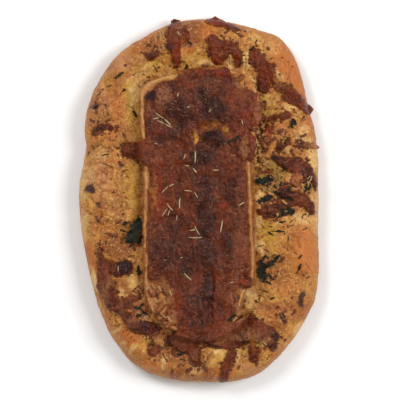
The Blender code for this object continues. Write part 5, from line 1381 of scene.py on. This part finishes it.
def make_oven_grain():
    """The mottled tone and fine bump of a baked surface."""
    inputs = [("Place", VECTOR), ("Fineness", FLOAT)]
    group, effect, given, result = effect_group("oven_grain", inputs, [("Tone", FLOAT), ("Bump", FLOAT)])
    coarse = effect.cloud(given["Place"], given["Fineness"], 3.0)
    fine = effect.cloud(given["Place"], effect.math("MULTIPLY", given["Fineness"], 3.1), 2.0)
    tone = effect.math("ADD", effect.math("MULTIPLY", coarse, 0.6), effect.math("MULTIPLY", fine, 0.4))
    effect.feed(result["Tone"], effect.spread(tone, 0.34, 0.66))
    effect.feed(result["Bump"], effect.math("ADD", coarse, effect.math("MULTIPLY", fine, 0.5)))
    return group


def make_oily_sheen():
    """The roughness of a surface that fat from the cheese has wetted in places."""
    inputs = [("Place", VECTOR), ("Amount", FLOAT), ("Dry", FLOAT), ("Wet", FLOAT)]
    group, effect, given, result = effect_group("oily_sheen", inputs, [("Roughness", FLOAT)])
    cloud = effect.lumps(given["Place"], 2.6)
    wet = effect.math("MULTIPLY", effect.spread(cloud, 0.42, 0.62), given["Amount"], clamp=True)
    span = effect.math("SUBTRACT", given["Wet"], given["Dry"])
    effect.feed(result["Roughness"], effect.math("ADD", given["Dry"], effect.math("MULTIPLY", wet, span)))
    return group


def make_speckles():
    """Specks of a second colour where fine noise rises above a threshold."""
    inputs = [("Place", VECTOR), ("Colour", COLOUR), ("Speck", COLOUR)]
    inputs += [("Fineness", FLOAT), ("Threshold", FLOAT), ("Amount", FLOAT)]
    group, effect, given, result = effect_group("speckles", inputs, [("Colour", COLOUR)])
    cloud = effect.cloud(given["Place"], given["Fineness"], 1.5)
    over = effect.math("SUBTRACT", cloud, given["Threshold"])
    kept = effect.math("MULTIPLY", effect.spread(over, 0.0, 0.06), given["Amount"], clamp=True)
    effect.feed(result["Colour"], effect.mix(kept, given["Colour"], given["Speck"]))
    return group


class PieceFinish(Finish):
    """A material, from the masks on its piece's points to its shader."""

    def __init__(self, name):
        self.material = bpy.data.materials.new(name)
        self.material.use_nodes = True
        super().__init__(self.material.node_tree)
        self.shader = self.tree.nodes["Principled BSDF"].inputs
        self.place = self.add("ShaderNodeTexCoord").outputs["Object"]

    def mask(self, name):
        """A mask that was painted on the piece's points."""
        return self.add("ShaderNodeAttribute", attribute_name=name).outputs["Fac"]

    def mottle(self, fineness):
        """The tone and the bump of a baked surface."""
        return self.use(oven_grain, {"Place": self.place, "Fineness": fineness})

    def stained(self, colour, **stains):
        """The colour with one colour after another laid over it where each mask is strong: the mask's name
        and the colour's code.
        """
        for name, code in stains.items():
            inputs = {"Place": self.place, "Colour": colour, "Stain": rgb(code), "Amount": self.mask(name)}
            colour = self.use(patchy_stain, inputs)["Colour"]
        return colour

    def speckled(self, colour, specks, where=None):
        """The colour with specks over it: code, size in millimetres, threshold, and amount inside a mask."""
        for code, size, threshold, amount in specks:
            inputs = {"Place": self.place, "Colour": colour, "Speck": rgb(code), "Threshold": threshold}
            inputs["Fineness"] = 1 / (size * MM)
            inputs["Amount"] = amount if where is None else self.math("MULTIPLY", where, amount)
            colour = self.use(speckles, inputs)["Colour"]
        return colour

    def shade_hollows(self, colour):
        """The colour, darker in the hollows of the surface: painted shade."""
        return self.mix(self.spread(self.mask("hollow"), 0.5, 0.95, 0.0, 0.6), colour, rgb(STAIN_AND_SHADE))

    def oily(self, dry, wet):
        """The roughness, from the dry places to those that fat has wetted."""
        inputs = {"Place": self.place, "Amount": self.mask("oily"), "Dry": dry, "Wet": wet}
        return self.use(oily_sheen, inputs)["Roughness"]

    def closed(self, colour, roughness, shine):
        """The material, once its shader has its colour, roughness and shine."""
        self.feed(self.shader["Base Color"], colour)
        self.feed(self.shader["Roughness"], roughness)
        self.feed(self.shader["Specular IOR Level"], shine)
        return self.material

    def bumped(self, height, reach):
        """Feeds a bump of at most `reach` millimetres into the shader."""
        node = self.add("ShaderNodeBump", {"Height": height, "Strength": 1.0, "Distance": reach * MM})
        self.feed(self.shader["Normal"], node.outputs["Normal"])


patchy_stain = make_patchy_stain()
oven_grain = make_oven_grain()
oily_sheen = make_oily_sheen()
speckles = make_speckles()


def make_crust_finish():
    """Oiled focaccia crust: golden, with orange, pale, greasy and scorched areas, scabs and herb dust,
    painted shade in its hollows, along its creases and beside the slab, and painted highlights among its
    pale areas.
    """
    crust = PieceFinish("baked_crust")
    mottle = crust.mottle(CRUST_FINENESS)
    broad = crust.spread(crust.lumps(crust.place, 5.0, 4.0), 0.38, 0.62, 0.0, 0.5)
    tone = crust.math("ADD", broad, crust.math("MULTIPLY", mottle["Tone"], 0.5))
    colour = crust.mix(tone, rgb(DEEP_CRUST), rgb(GOLDEN_CRUST))
    colour = crust.stained(colour, yellow=YELLOW, pink=PINK, orange=ORANGE, underside=UNDERSIDE, stain=STAIN_AND_SHADE)
    rough = crust.mask("rough")
    flecks = [(STAIN_AND_SHADE, 3.1, 0.55, 0.35), (STAIN_AND_SHADE, 1.5, 0.59, 0.35), (PALE, 1.3, 0.6, 0.4)]
    colour = crust.speckled(colour, flecks, rough)
    colour = crust.mix(crust.math("MULTIPLY", crust.mask("scab"), 0.6), colour, rgb(SCAB))
    colour = crust.shade_hollows(crust.stained(colour, pale=PALE))
    colour = crust.speckled(colour, [(DUST, 1.2, 0.65, 0.7)], rough)
    colour = crust.stained(colour, scorch=SCORCH)
    crust.bumped(mottle["Bump"], 0.34)
    return crust.closed(colour, crust.oily(0.55, 0.3), 0.22)


def make_rind_finish():
    """Baked brie: a pale crest along an orange-brown rim, over a creamy side, with painted shade in its
    hollows and towards its foot.
    """
    rind = PieceFinish("baked_brie_rind")
    mottle = rind.mottle(CRUST_FINENESS)
    colour = rind.mix(rind.spread(mottle["Tone"], 0.0, 1.0, 0.0, 0.5), rgb(RIND_SHADE), rgb(CORNER_TAN))
    colour = rind.stained(colour, cream=RIND_SIDE, corner=CORNER_TAN, crest=RIND_CREST, amber=CORNER_GOLD)
    colour = rind.stained(colour, stain=STAIN_AND_SHADE)
    colour = rind.shade_hollows(rind.speckled(colour, [(STAIN_AND_SHADE, 2.1, 0.58, 0.5), (PALE, 1.2, 0.64, 0.4)]))
    rind.feed(rind.shader["Subsurface Weight"], 0.06)
    rind.feed(rind.shader["Subsurface Radius"], (0.002, 0.0012, 0.0006))
    rind.bumped(mottle["Bump"], 0.2)
    return rind.closed(colour, rind.oily(0.55, 0.3), 0.3)


def make_cheese_finish():
    """Browned cheese: dark red-brown curds, creases darkened as painted shade with a little searing, gold
    thin places, a painted pinkish sheen and painted pale glints.
    """
    cheese = PieceFinish("oven_browned_cheese")
    grainy = cheese.mask("grainy")
    colour = cheese.mix(cheese.mask("tone"), rgb(BROWNED_DARK), rgb(BROWNED))
    colour = cheese.speckled(colour, [(BROWNED_DARK, 6.0, 0.54, 0.3), (TOASTED_CURD, 3.4, 0.6, 0.3)])
    grains = [(BROWNED_DARK, 1.9, 0.56, 0.42), (BROWNED_TAN, 1.6, 0.61, 0.34)]
    colour = cheese.speckled(colour, grains, grainy)
    colour = cheese.stained(colour, red=BROWNED_RED, dark=BROWNED_DARK, pink=BROWNED_PINK_SHEEN, tan=BROWNED_TAN)
    colour = cheese.stained(colour, plum=PLUM, thin=MELTED_GOLD, glow=EYE_GOLD, peach=PEACH)
    # Creases darkened: painted shade, with a little searing
    crease_shade = cheese.spread(cheese.mask("crease"), 0.15, 1.0, 0.0, 0.5)
    colour = cheese.mix(crease_shade, colour, rgb(CREASE_SHADE_AND_SEAR))
    # Painted glints: a pale tint where the glint mask is strong, and pale specks
    colour = cheese.mix(cheese.math("MULTIPLY", cheese.mask("wet"), 0.09), colour, rgb(GLINT))
    colour = cheese.speckled(colour, [(GLINT, 1.0, 0.68, 0.5)], grainy)
    cheese.bumped(cheese.mottle(CHEESE_FINENESS)["Bump"], 0.38)
    return cheese.closed(colour, cheese.oily(0.4, 0.18), 0.12)


def make_plain_finish(name, tones, size, roughness, reach, shine=0.3):
    """A finish mottled with a dark and a light tone, for small bits."""
    plain = PieceFinish(name)
    mottle = plain.mottle(1 / (size * MM))
    plain.bumped(mottle["Bump"], reach)
    return plain.closed(plain.mix(mottle["Tone"], *map(rgb, tones)), roughness, shine)


crust_finish = make_crust_finish()
rind_finish = make_rind_finish()
cheese_finish = make_cheese_finish()
leaf_finish = make_plain_finish("baked_herb_leaf", LEAF_TONES, 1.5, 0.5, 0.15, 0.12)
straw_finish = make_plain_finish("dried_rosemary_straw", STRAW_TONES, 1.1, 0.5, 0.06)
chip_finish = make_plain_finish("dried_herb_chip", CHIP_TONES, 1.1, 0.65, 0.08, 0.12)
gold_melt_finish = make_plain_finish("olive_gold_melt", GOLD_MELT_TONES, 2.6, 0.32, 0.15, 0.2)
gold_shred_finish = make_plain_finish("olive_gold_shred", GOLD_SHRED_TONES, 1.6, 0.35, 0.12)
shred_finish = make_plain_finish("pale_melted_shred", PALE_SHRED_TONES, 1.2, 0.42, 0.12)
dark_shred_finish = make_plain_finish("browned_shred", BROWN_SHRED_TONES, 1.2, 0.4, 0.12)
fibre_finish = make_plain_finish("cheese_fibre", FIBRE_TONES, 1.2, 0.35, 0.08)
fat_finish = make_plain_finish("melted_fat", FAT_TONES, 1.5, 0.12, 0.02)


# Pieces


def make_bread():
    """The bread: rings up its rounded side, then in over the crust to the middle."""
    line = closed_spline(OUTLINE, CRUST_SEGMENTS)
    rings = []
    for k in range(CRUST_SIDE_RINGS):
        turn = math.pi / 2 * k / CRUST_SIDE_RINGS
        inset, height = TUCK_IN * (1 - math.sin(turn)), WIDEST_HEIGHT * (1 - math.cos(turn))
        rings.append(np.column_stack([BREAD.moved_in(line, inset), np.full(len(line), height)]))
    insets = ring_insets(CRUST_EDGE_INSETS, CRUST_RING_STEP, CRUST_RING_REACH)
    rings += top_rings(BREAD, line, insets, CRUST_INNER_SHARES, crust_height)
    bread = ring_piece("focaccia_crust", rings, crust_finish, ["focaccia_bread"])
    x, y, z = places_of(bread)
    inset, to_cheese = BREAD.inset(x, y), nearest_cheese(x, y)
    smooth = areas(x, y, SMOOTH_CRUST)
    low_side = 1 - smooth_step(z, 4, 14)
    roughen(bread, CRUST_GRAIN, smooth_step(z, 0.2, 3) * (1 - 0.7 * np.maximum(smooth, 0.4 * low_side)))
    on_top = smooth_step(z, 9, 15)
    rim = 0.3 * (1 - smooth_step(inset, 1, 6))
    waist = 0.55 * bump(z, 0, 6, 0, 2.6, 1) * (0.6 + 0.8 * grain(x, y, z, [(9, 1, 36)]))
    by_cheese = 0.5 * nearness(to_cheese, 1.6)
    # Painted shade: the crust darker in the narrow gap along the slab's foot
    shade_by_slab = 0.8 * nearness(np.maximum(-SLAB.inset(x, y), 0), 1.8) * (1 - 0.8 * areas(x, y, SOFT_EDGE))
    # Painted shade along the wrinkles and folds of the crust
    marks = np.maximum(0.75 * wrinkles(x, y), 0.6 * fold_depth(x, y)) * smooth_step(inset, 1, 4)
    # The stain mask: real browning by the cheese and in the stained areas, with painted shade beside the
    # slab and along the wrinkles and folds
    stain = np.max([by_cheese, shade_by_slab, marks, areas(x, y, STAINED_AND_SHADED_CRUST)], axis=0)
    browned_side = 0.75 * smooth_step(grain(x, y, z * 1.6, BREAD_SIDE_BLOTCHES), 0.0, 0.55)
    paint(
        bread,
        rough=(1 - 0.6 * smooth) * on_top * (1 + 0.7 * areas(x, y, FLECKED_CRUST)),
        scab=crumb_texture(x, y)[1] * (1 - smooth) * on_top,
        orange=np.maximum(areas(x, y, ORANGE_CRUST), rim) * smooth_step(z, 2, 6),
        yellow=areas(x, y, YELLOW_CRUST) * on_top,
        pale=np.maximum(areas(x, y, PALE_CRUST_AND_HIGHLIGHTS) * smooth_step(z, 7, 13), waist),
        pink=areas(x, y, PINK_CRUST),
        scorch=areas(x, y, SCORCHED_CRUST) * on_top,
        stain=stain * on_top + browned_side * (1 - on_top),
        underside=1 - smooth_step(z, 0.3, 3.6),
        oily=np.maximum(0.7 * nearness(to_cheese, 9), 0.45),
    )


def make_slab():
    """The slab of brie: rings up its side to the rounded lip, then in over its top."""
    line = closed_spline(SLAB_OUTLINE, SLAB_SEGMENTS)
    rings = []
    lip = slab_height(*SLAB.moved_in(line, 0.3).T) - 0.85 * SLAB_ROUNDING
    for k in range(SLAB_SIDE_RINGS):
        share = k / (SLAB_SIDE_RINGS - 1)
        plan = SLAB.moved_in(line, SLAB_UNDERCUT * max(0, 1 - 2 * share))
        rings.append(np.column_stack([plan, SLAB_BOTTOM + (lip - SLAB_BOTTOM) * share]))
    insets = ring_insets(SLAB_EDGE_INSETS, SLAB_RING_STEP, SLAB_RING_REACH)
    rings += top_rings(SLAB, line, insets, SLAB_INNER_SHARES, slab_top)
    slab = ring_piece("baked_brie_slab", rings, rind_finish, ["brie_slab"])
    x, y, z = places_of(slab)
    roughen(slab, SLAB_GRAIN, smooth_step(z, SLAB_BOTTOM, (SLAB_BOTTOM + SLAB_TOP) / 2), SIDE_LUMPS)
    from_crest = SLAB.inset(x, y) - 1.3 - 0.5 * noise(x, y, 5, 48) - 0.2 * noise(x, y, 2, 49)
    crest = np.exp(-((from_crest / (0.8 + 0.9 * areas(x, y, SOFT_EDGE))) ** 2)) * smooth_step(z, 22, 25)
    corner = areas(x, y, MELTED_CORNER_TONES)
    folds = np.max([ridge(x, y, line, half) for *line, half, _ in SLAB_FOLDS], axis=0)
    # Painted shade: the slab's side darker towards its foot in the bread
    foot = (1 - smooth_step(z, 16, 20)) * 0.8
    blotches = 0.6 * smooth_step(noise(x, y, 4.4, 47), 0.3, 0.9)
    corner_blotches = 0.8 * corner * smooth_step(noise(x, y, 3, 50), 0, 0.6)
    browned_side = smooth_step(grain(x, y, z, SLAB_SIDE_BLOTCHES), 0.0, 0.6) * (1 - smooth_step(z, 21, 25))
    paint(
        slab,
        crest=crest * (1 - areas(x, y, DULL_RIND)) * (0.85 + 0.35 * noise(x, y, 7, 46)),
        amber=np.maximum(0.7 * folds * corner, areas(x, y, AMBER_CORNER)),
        corner=corner,
        cream=(1 - smooth_step(z, 19, 24)) * 0.9,
        stain=np.max([foot, blotches, corner_blotches, 0.7 * browned_side], axis=0),
        oily=0.6,
    )


def paint_cheese(piece, distance, texture, brim):
    """The masks of browned cheese; below the brim its marks run down the side too."""
    x, y, z = places_of(piece)
    stretch, seed = texture
    fallen = np.clip(brim - z, 0, 9)
    _, crease, toast_and_highlight, wet = melted_texture(x + 0.5 * fallen, y + 0.8 * fallen, stretch, seed)
    toast_and_highlight = toast_and_highlight - 0.25 * smooth_step(fallen, 0, 2) * (1 + noise(x, y + z, 3, 66))
    smooth = areas(x, y, SMOOTH_CHEESE)
    inside = -distance(x, y)
    lip = 0.7 * (1 - smooth_step(inside, -0.3, 1.3))
    arc = 1 - smooth_step(stroke_distance(x, y, EYE_ARC) + 1.6 * noise(x, y, 2.6, 65), -3.2, 1.4)
    # A pinkish haze over the cheese, partly a painted sheen
    pink_sheen_haze = 0.35 * smooth_step(noise(x, y, 3.1, seed + 4), 0.2, 0.8)
    paint(
        piece,
        crease=crease * (1 - 0.7 * smooth) * (1 - 0.5 * arc) * smooth_step(inside, 0, 1.2),
        tone=np.clip(toast_and_highlight * 0.75 + 0.22 + 0.45 * noise(x, y, 8, seed + 3), 0, 1),
        wet=wet,
        grainy=0.8 + 0.8 * areas(x, y, GRAINY_CHEESE),
        red=areas(x, y, RED_CHEESE),
        dark=areas(x, y, DARK_CHEESE),
        tan=areas(x, y, TAN_CHEESE),
        plum=areas(x, y, PLUM_CHEESE),
        glow=areas(x, y, EYE_LIGHTS),
        peach=areas(x, y, PEACH_CHEESE),
        pink=np.maximum(areas(x, y, PINK_CHEESE_AND_SHEEN), pink_sheen_haze),
        thin=np.max([areas(x, y, GOLD_CHEESE), lip, 0.38 * arc], axis=0),
        oily=0.85,
    )


def make_blanket():
    """The browned cheese over the slab, down to where it lies on the crust."""
    x, y, cells = grid_inside(ragged_blanket_distance, *BLANKET_REACH, BLANKET_STEP)

    def bottom(px, py):
        return blanket_base(px, py) - BLANKET_SUNK

    nodes = ["cheese_blanket"]
    blanket = layer_piece("browned_blanket", x, y, cells, blanket_height, bottom, cheese_finish, nodes)
    roughen(blanket, BLANKET_GRAIN, on_sides=SIDE_LUMPS)
    paint_cheese(blanket, ragged_blanket_distance, BLANKET_TEXTURE, BLANKET_BRIM)


def make_cheese_patch(name, strokes, thickness=CHEESE_THICKNESS, finish=cheese_finish, nodes=()):
    """One patch of browned cheese on the crust."""
    distance = cheese_distance(strokes)
    places = np.array([place for stroke in strokes for place in stroke])
    margin = places[:, 2].max() + 3.5
    low, high = places[:, :2].min(0) - margin, places[:, :2].max(0) + margin
    x, y, cells = grid_inside(distance, low, high, CHEESE_STEP)

    def bottom(px, py):
        return crust_height(px, py) - CHEESE_SUNK

    patch = layer_piece(name, x, y, cells, cheese_height(distance, thickness), bottom, finish, nodes)
    roughen(patch, CHEESE_GRAIN)
    paint_cheese(patch, distance, PATCH_TEXTURE, PATCH_BRIM)


def leaf_blade(bits, x, y, length, half, heading, curl, stations, strips, seed):
    """One thin wavy torn blade, both faces alike, gathered as rings round its width."""
    t = np.linspace(0, 1, stations + 1)[:, None]
    across = np.linspace(-1, 1, strips + 1)[None, :]
    fullness = np.sin(math.pi * (0.12 + 0.86 * t)) ** 0.8
    side = np.sign(across)
    torn = 0.9 + 0.6 * noise(7 * t + seed, 3 * side, 1, seed) + 0.5 * noise(17 * t, 5 * side, 1, seed + 1)
    width = half * (LEAF_TIP + (1 - LEAF_TIP) * fullness) * np.clip(torn, 0.22, 1.25)
    width = width * np.clip(np.minimum(t, 1 - t) * 9 + 0.35, 0, 1)
    sway = 0.35 * half * noise(4 * t + seed, 0 * t, 1, seed + 2)
    u, v = turned((t - 0.5) * length + 0 * across, across * width + sway, -heading)
    px, py = x + u, y + v
    wave = curl * (0.5 * across**2 + 0.35 * np.sin(7 * t + 2 * across) ** 2)
    midrib = 0.12 * np.exp(-((across / 0.12) ** 2))
    veins = 0.16 * np.abs(np.sin(9 * t * math.pi + 2.5 * np.abs(across)))
    z = resting_height(px, py) * 0.5 + crust_level(px, py) * 0.5 + LEAF_LIFT + wave + midrib - veins
    upper = np.stack([px, py, z + LEAF_THICKNESS / 2], -1)
    lower = np.stack([px, py, z - LEAF_THICKNESS / 2], -1)
    bits.add_rings([np.vstack([upper[i], lower[i][::-1]]) for i in range(stations + 1)])


def crust_level(px, py):
    """The highest resting height under a leaf, so that it bridges the hollows there."""
    return np.full(np.shape(px), float(np.max(resting_height(px, py))) - 0.2)


def make_leaves():
    """The baked leaves, one piece for each solid, and the scraps of broken leaf."""
    for seed, (node, blade) in enumerate(LEAVES.items(), 3):
        bits = Bits()
        leaf_blade(bits, *blade, 30, 12, seed)
        bits.piece(f"{node}_baked", leaf_finish, "herb_leaf", [node])
    scraps = Bits()
    for seed, blade in enumerate(LEAF_SCRAPS, 23):
        leaf_blade(scraps, *blade, SCRAP_CURL, 12, 4, seed)
    scraps.piece("leaf_scraps", leaf_finish, "herb_leaf")


def bent_line(x, y, length, heading, bend, count):
    """Points along a straight line through a place that bows out by a share of its length."""
    t = np.linspace(-0.5, 0.5, count)
    u, v = turned(t * length, bend * length * (1 - 4 * t**2), -heading)
    return t, x + u, y + v


def make_needles(name, needles, finish, seed):
    """Dried rosemary needles lying as they fell, a little bent."""
    draw = np.random.default_rng(seed)
    bits = Bits()
    for x, y, length, heading in needles:
        t, px, py = bent_line(x, y, length, heading, draw.uniform(-0.05, 0.05), len(NEEDLE_TAPER))
        ground = resting_height(px, py)
        level = np.polyval(np.polyfit(t, ground, 1), t)
        z = np.maximum(level, ground - 0.25) + 0.25
        radii = NEEDLE_RADIUS * draw.uniform(0.65, 1.1) * np.array(NEEDLE_TAPER)
        tube(bits, np.stack([px, py, z], 1), radii, 0.75, 6)
    bits.piece(name, finish, "crust")


def make_shreds(name, strands, finish, slot, seed):
    """Shreds of grated cheese that kept their form, lying on what is under them."""
    draw = np.random.default_rng(seed)
    bits = Bits()
    for *path, radius in strands:
        plan = along_path(path, SHRED_PARTS)
        t = np.linspace(-1, 1, SHRED_PARTS)
        uneven = 1 + 0.16 * draw.uniform(-1, 1, SHRED_PARTS)
        radii = radius * np.sqrt(np.clip(1.04 - t**4, 0.05, 1)) * uneven
        tube(bits, np.column_stack([plan, resting_height(*plan.T) + 0.15]), radii, 0.7, 9)
    bits.piece(name, finish, slot)


def lay_bits(bits, places, radii, squeezes, rise, seed):
    """Small bits with uneven outlines at the places given, each turned and tilted its own way."""
    draw = np.random.default_rng(seed)
    turns = 2 * np.pi * np.arange(BIT_SIDES) / BIT_SIDES
    for (x, y), z in zip(places, resting_height(*places.T)):
        radius, squeeze, heading = draw.uniform(*radii), draw.uniform(*squeezes), draw.uniform(0, 360)
        uneven = 1 + 0.22 * draw.uniform(-1, 1, BIT_SIDES)
        u, v = turned(radius * np.cos(turns) * uneven, radius * squeeze * np.sin(turns) * uneven, heading)
        ring = np.column_stack([u, v])
        tilt = draw.uniform(-0.3, 0.3, 2)
        height = rise * radius * squeeze**0.5
        levels = [(-0.5, 0.8), (0.1 + 0.4 * height, 1.0), (0.1 + height, 0.55)]
        rings = []
        for level, share in levels:
            plan = ring * share
            rings.append(np.column_stack([(x, y) + plan, z + level + plan @ tilt]))
        bits.add_rings(rings)


def make_scatter():
    """Herb flakes and stalks, crumbs of browned cheese, and beads of fat."""

    def rough_crust(x, y):
        rough = 1 - 0.9 * areas(x, y, SMOOTH_CRUST)
        return open_crust(x, y) * rough * (0.4 + 0.6 * nearness(nearest_cheese(x, y), 14))

    def beside_cheese(x, y):
        outside = nearest_cheese(x, y)
        return open_crust(x, y) * smooth_step(outside, -0.6, 0.2) * (0.06 + 0.94 * nearness(outside, 3))

    def on_blanket(x, y):
        return 1.0 * (ragged_blanket_distance(x, y) < -1.5)

    def on_cheese(x, y):
        return 1.0 * (nearest_cheese(x, y) < -1)

    herbs, crumbs, beads = Bits(), Bits(), Bits()
    sorts = [
        (herbs, FLAKES_ON_CRUST, 101, rough_crust, (0.22, 0.5), (0.4, 0.9), 0.4),
        (herbs, STALKS_ON_CRUST, 103, rough_crust, (0.7, 1.6), (0.13, 0.24), 0.5),
        (herbs, FLAKES_ON_BLANKET, 105, on_blanket, (0.3, 0.9), (0.25, 0.7), 0.4),
        (crumbs, CRUMBS, 107, beside_cheese, (0.4, 1.2), (0.6, 1.0), 0.6),
        (beads, FAT_BEADS, 109, on_cheese, (0.3, 0.65), (0.6, 1.0), 0.5),
    ]
    for bits, count, seed, chance, radii, squeezes, rise in sorts:
        lay_bits(bits, draw_places(count, seed, chance), radii, squeezes, rise, seed + 1)
    herbs.piece("herb_chips", chip_finish, "crust")
    crumbs.piece("browned_crumbs", dark_shred_finish, "browned_cheese")
    beads.piece("fat_beads", fat_finish, "browned_cheese")


def make_fibres():
    """Fine pale fibres of cheese on the blanket, thickest at its upper left."""
    draw = np.random.default_rng(115)

    def chance(x, y):
        return (ragged_blanket_distance(x, y) < -2) * (0.08 + 0.92 * bump(x, y, -15, 58, 13, 13))

    bits = Bits()
    for x, y in draw_places(FIBRES, 116, chance):
        length, heading = draw.uniform(1.6, 4.6), draw.normal(-48, 34)
        _, px, py = bent_line(x, y, length, heading, draw.uniform(-0.3, 0.3), len(FIBRE_TAPER))
        radii = draw.uniform(0.12, 0.2) * np.array(FIBRE_TAPER)
        tube(bits, np.stack([px, py, resting_height(px, py) + 0.12], 1), radii, 0.8, 5)
    bits.piece("cheese_fibres", fibre_finish, "browned_cheese")


make_bread()
make_slab()
make_blanket()
for cheese_node, cheese_strokes in CHEESE.items():
    make_cheese_patch(f"{cheese_node}_melted", cheese_strokes, nodes=[cheese_node])
for scrap, scrap_strokes in MELTED_SCRAPS.items():
    make_cheese_patch(scrap, scrap_strokes, SCRAP_THICKNESS)
make_cheese_patch("olive_gold_melt", GOLD_MELT, GOLD_THICKNESS, gold_melt_finish)
make_leaves()
make_needles("pale_rosemary_needles", PALE_NEEDLES, straw_finish, 111)
make_needles("scorched_rosemary_needles", DARK_NEEDLES, chip_finish, 112)
make_shreds("pale_shreds", PALE_SHREDS, shred_finish, "brie_rind", 113)
make_shreds("browned_shreds", BROWN_SHREDS, dark_shred_finish, "browned_cheese", 114)
make_shreds("olive_gold_shreds", GOLD_SHREDS, gold_shred_finish, "browned_cheese", 117)
make_fibres()
make_scatter()


# Table, light and camera


def make_table():
    """A plain pale table under the bread."""
    half = 3.0
    corners = [(-half, -half, 0), (half, -half, 0), (half, half, 0), (-half, half, 0)]
    mesh = bpy.data.meshes.new("pale_table")
    mesh.from_pydata(corners, [], [(0, 1, 2, 3)])
    table_paint = PieceFinish("pale_table_paint")
    tone = table_paint.spread(table_paint.lumps(table_paint.place, 60.0), 0.3, 0.7)
    colour = table_paint.mix(tone, (0.9, 0.9, 0.9, 1), (0.92, 0.92, 0.92, 1))
    mesh.materials.append(table_paint.closed(colour, 0.9, 0.1))
    table = bpy.data.objects.new("pale_table", mesh)
    bpy.context.scene.collection.objects.link(table)


def make_light(name, place, size, power):
    """A square soft light that looks at the bread."""
    light = bpy.data.lights.new(name, "AREA")
    light.shape = "SQUARE"
    light.size = size
    light.energy = power
    lamp = bpy.data.objects.new(name, light)
    lamp.location = place
    lamp.rotation_euler = (-lamp.location).to_track_quat("-Z", "Y").to_euler()
    bpy.context.scene.collection.objects.link(lamp)


def make_studio():
    """Soft even light: a pale room, and two soft boxes high up that leave small glints on the fat."""
    world = bpy.data.worlds.new("studio_air")
    world.use_nodes = True
    air = world.node_tree.nodes["Background"]
    air.inputs["Color"].default_value = (1, 1, 1, 1)
    air.inputs["Strength"].default_value = 0.5
    bpy.context.scene.world = world
    make_light("window_left", (-0.62, 0.62, 1.25), 0.45, 9)
    make_light("window_right", (0.85, 0.2, 1.15), 0.55, 11)
    bpy.context.scene.view_settings.view_transform = "Standard"


def make_camera():
    """A long lens straight above, whose picture is 232 mm wide at the bread's widest height."""
    lens = bpy.data.cameras.new("overhead_camera")
    lens.lens = LENS
    lens.sensor_width = SENSOR
    lens.clip_end = 50
    camera = bpy.data.objects.new("overhead_camera", lens)
    camera.location = (0, 0, (LENS / SENSOR * VIEW_WIDTH + WIDEST_HEIGHT) * MM)
    bpy.context.scene.collection.objects.link(camera)
    bpy.context.scene.camera = camera


make_table()
make_studio()
make_camera()
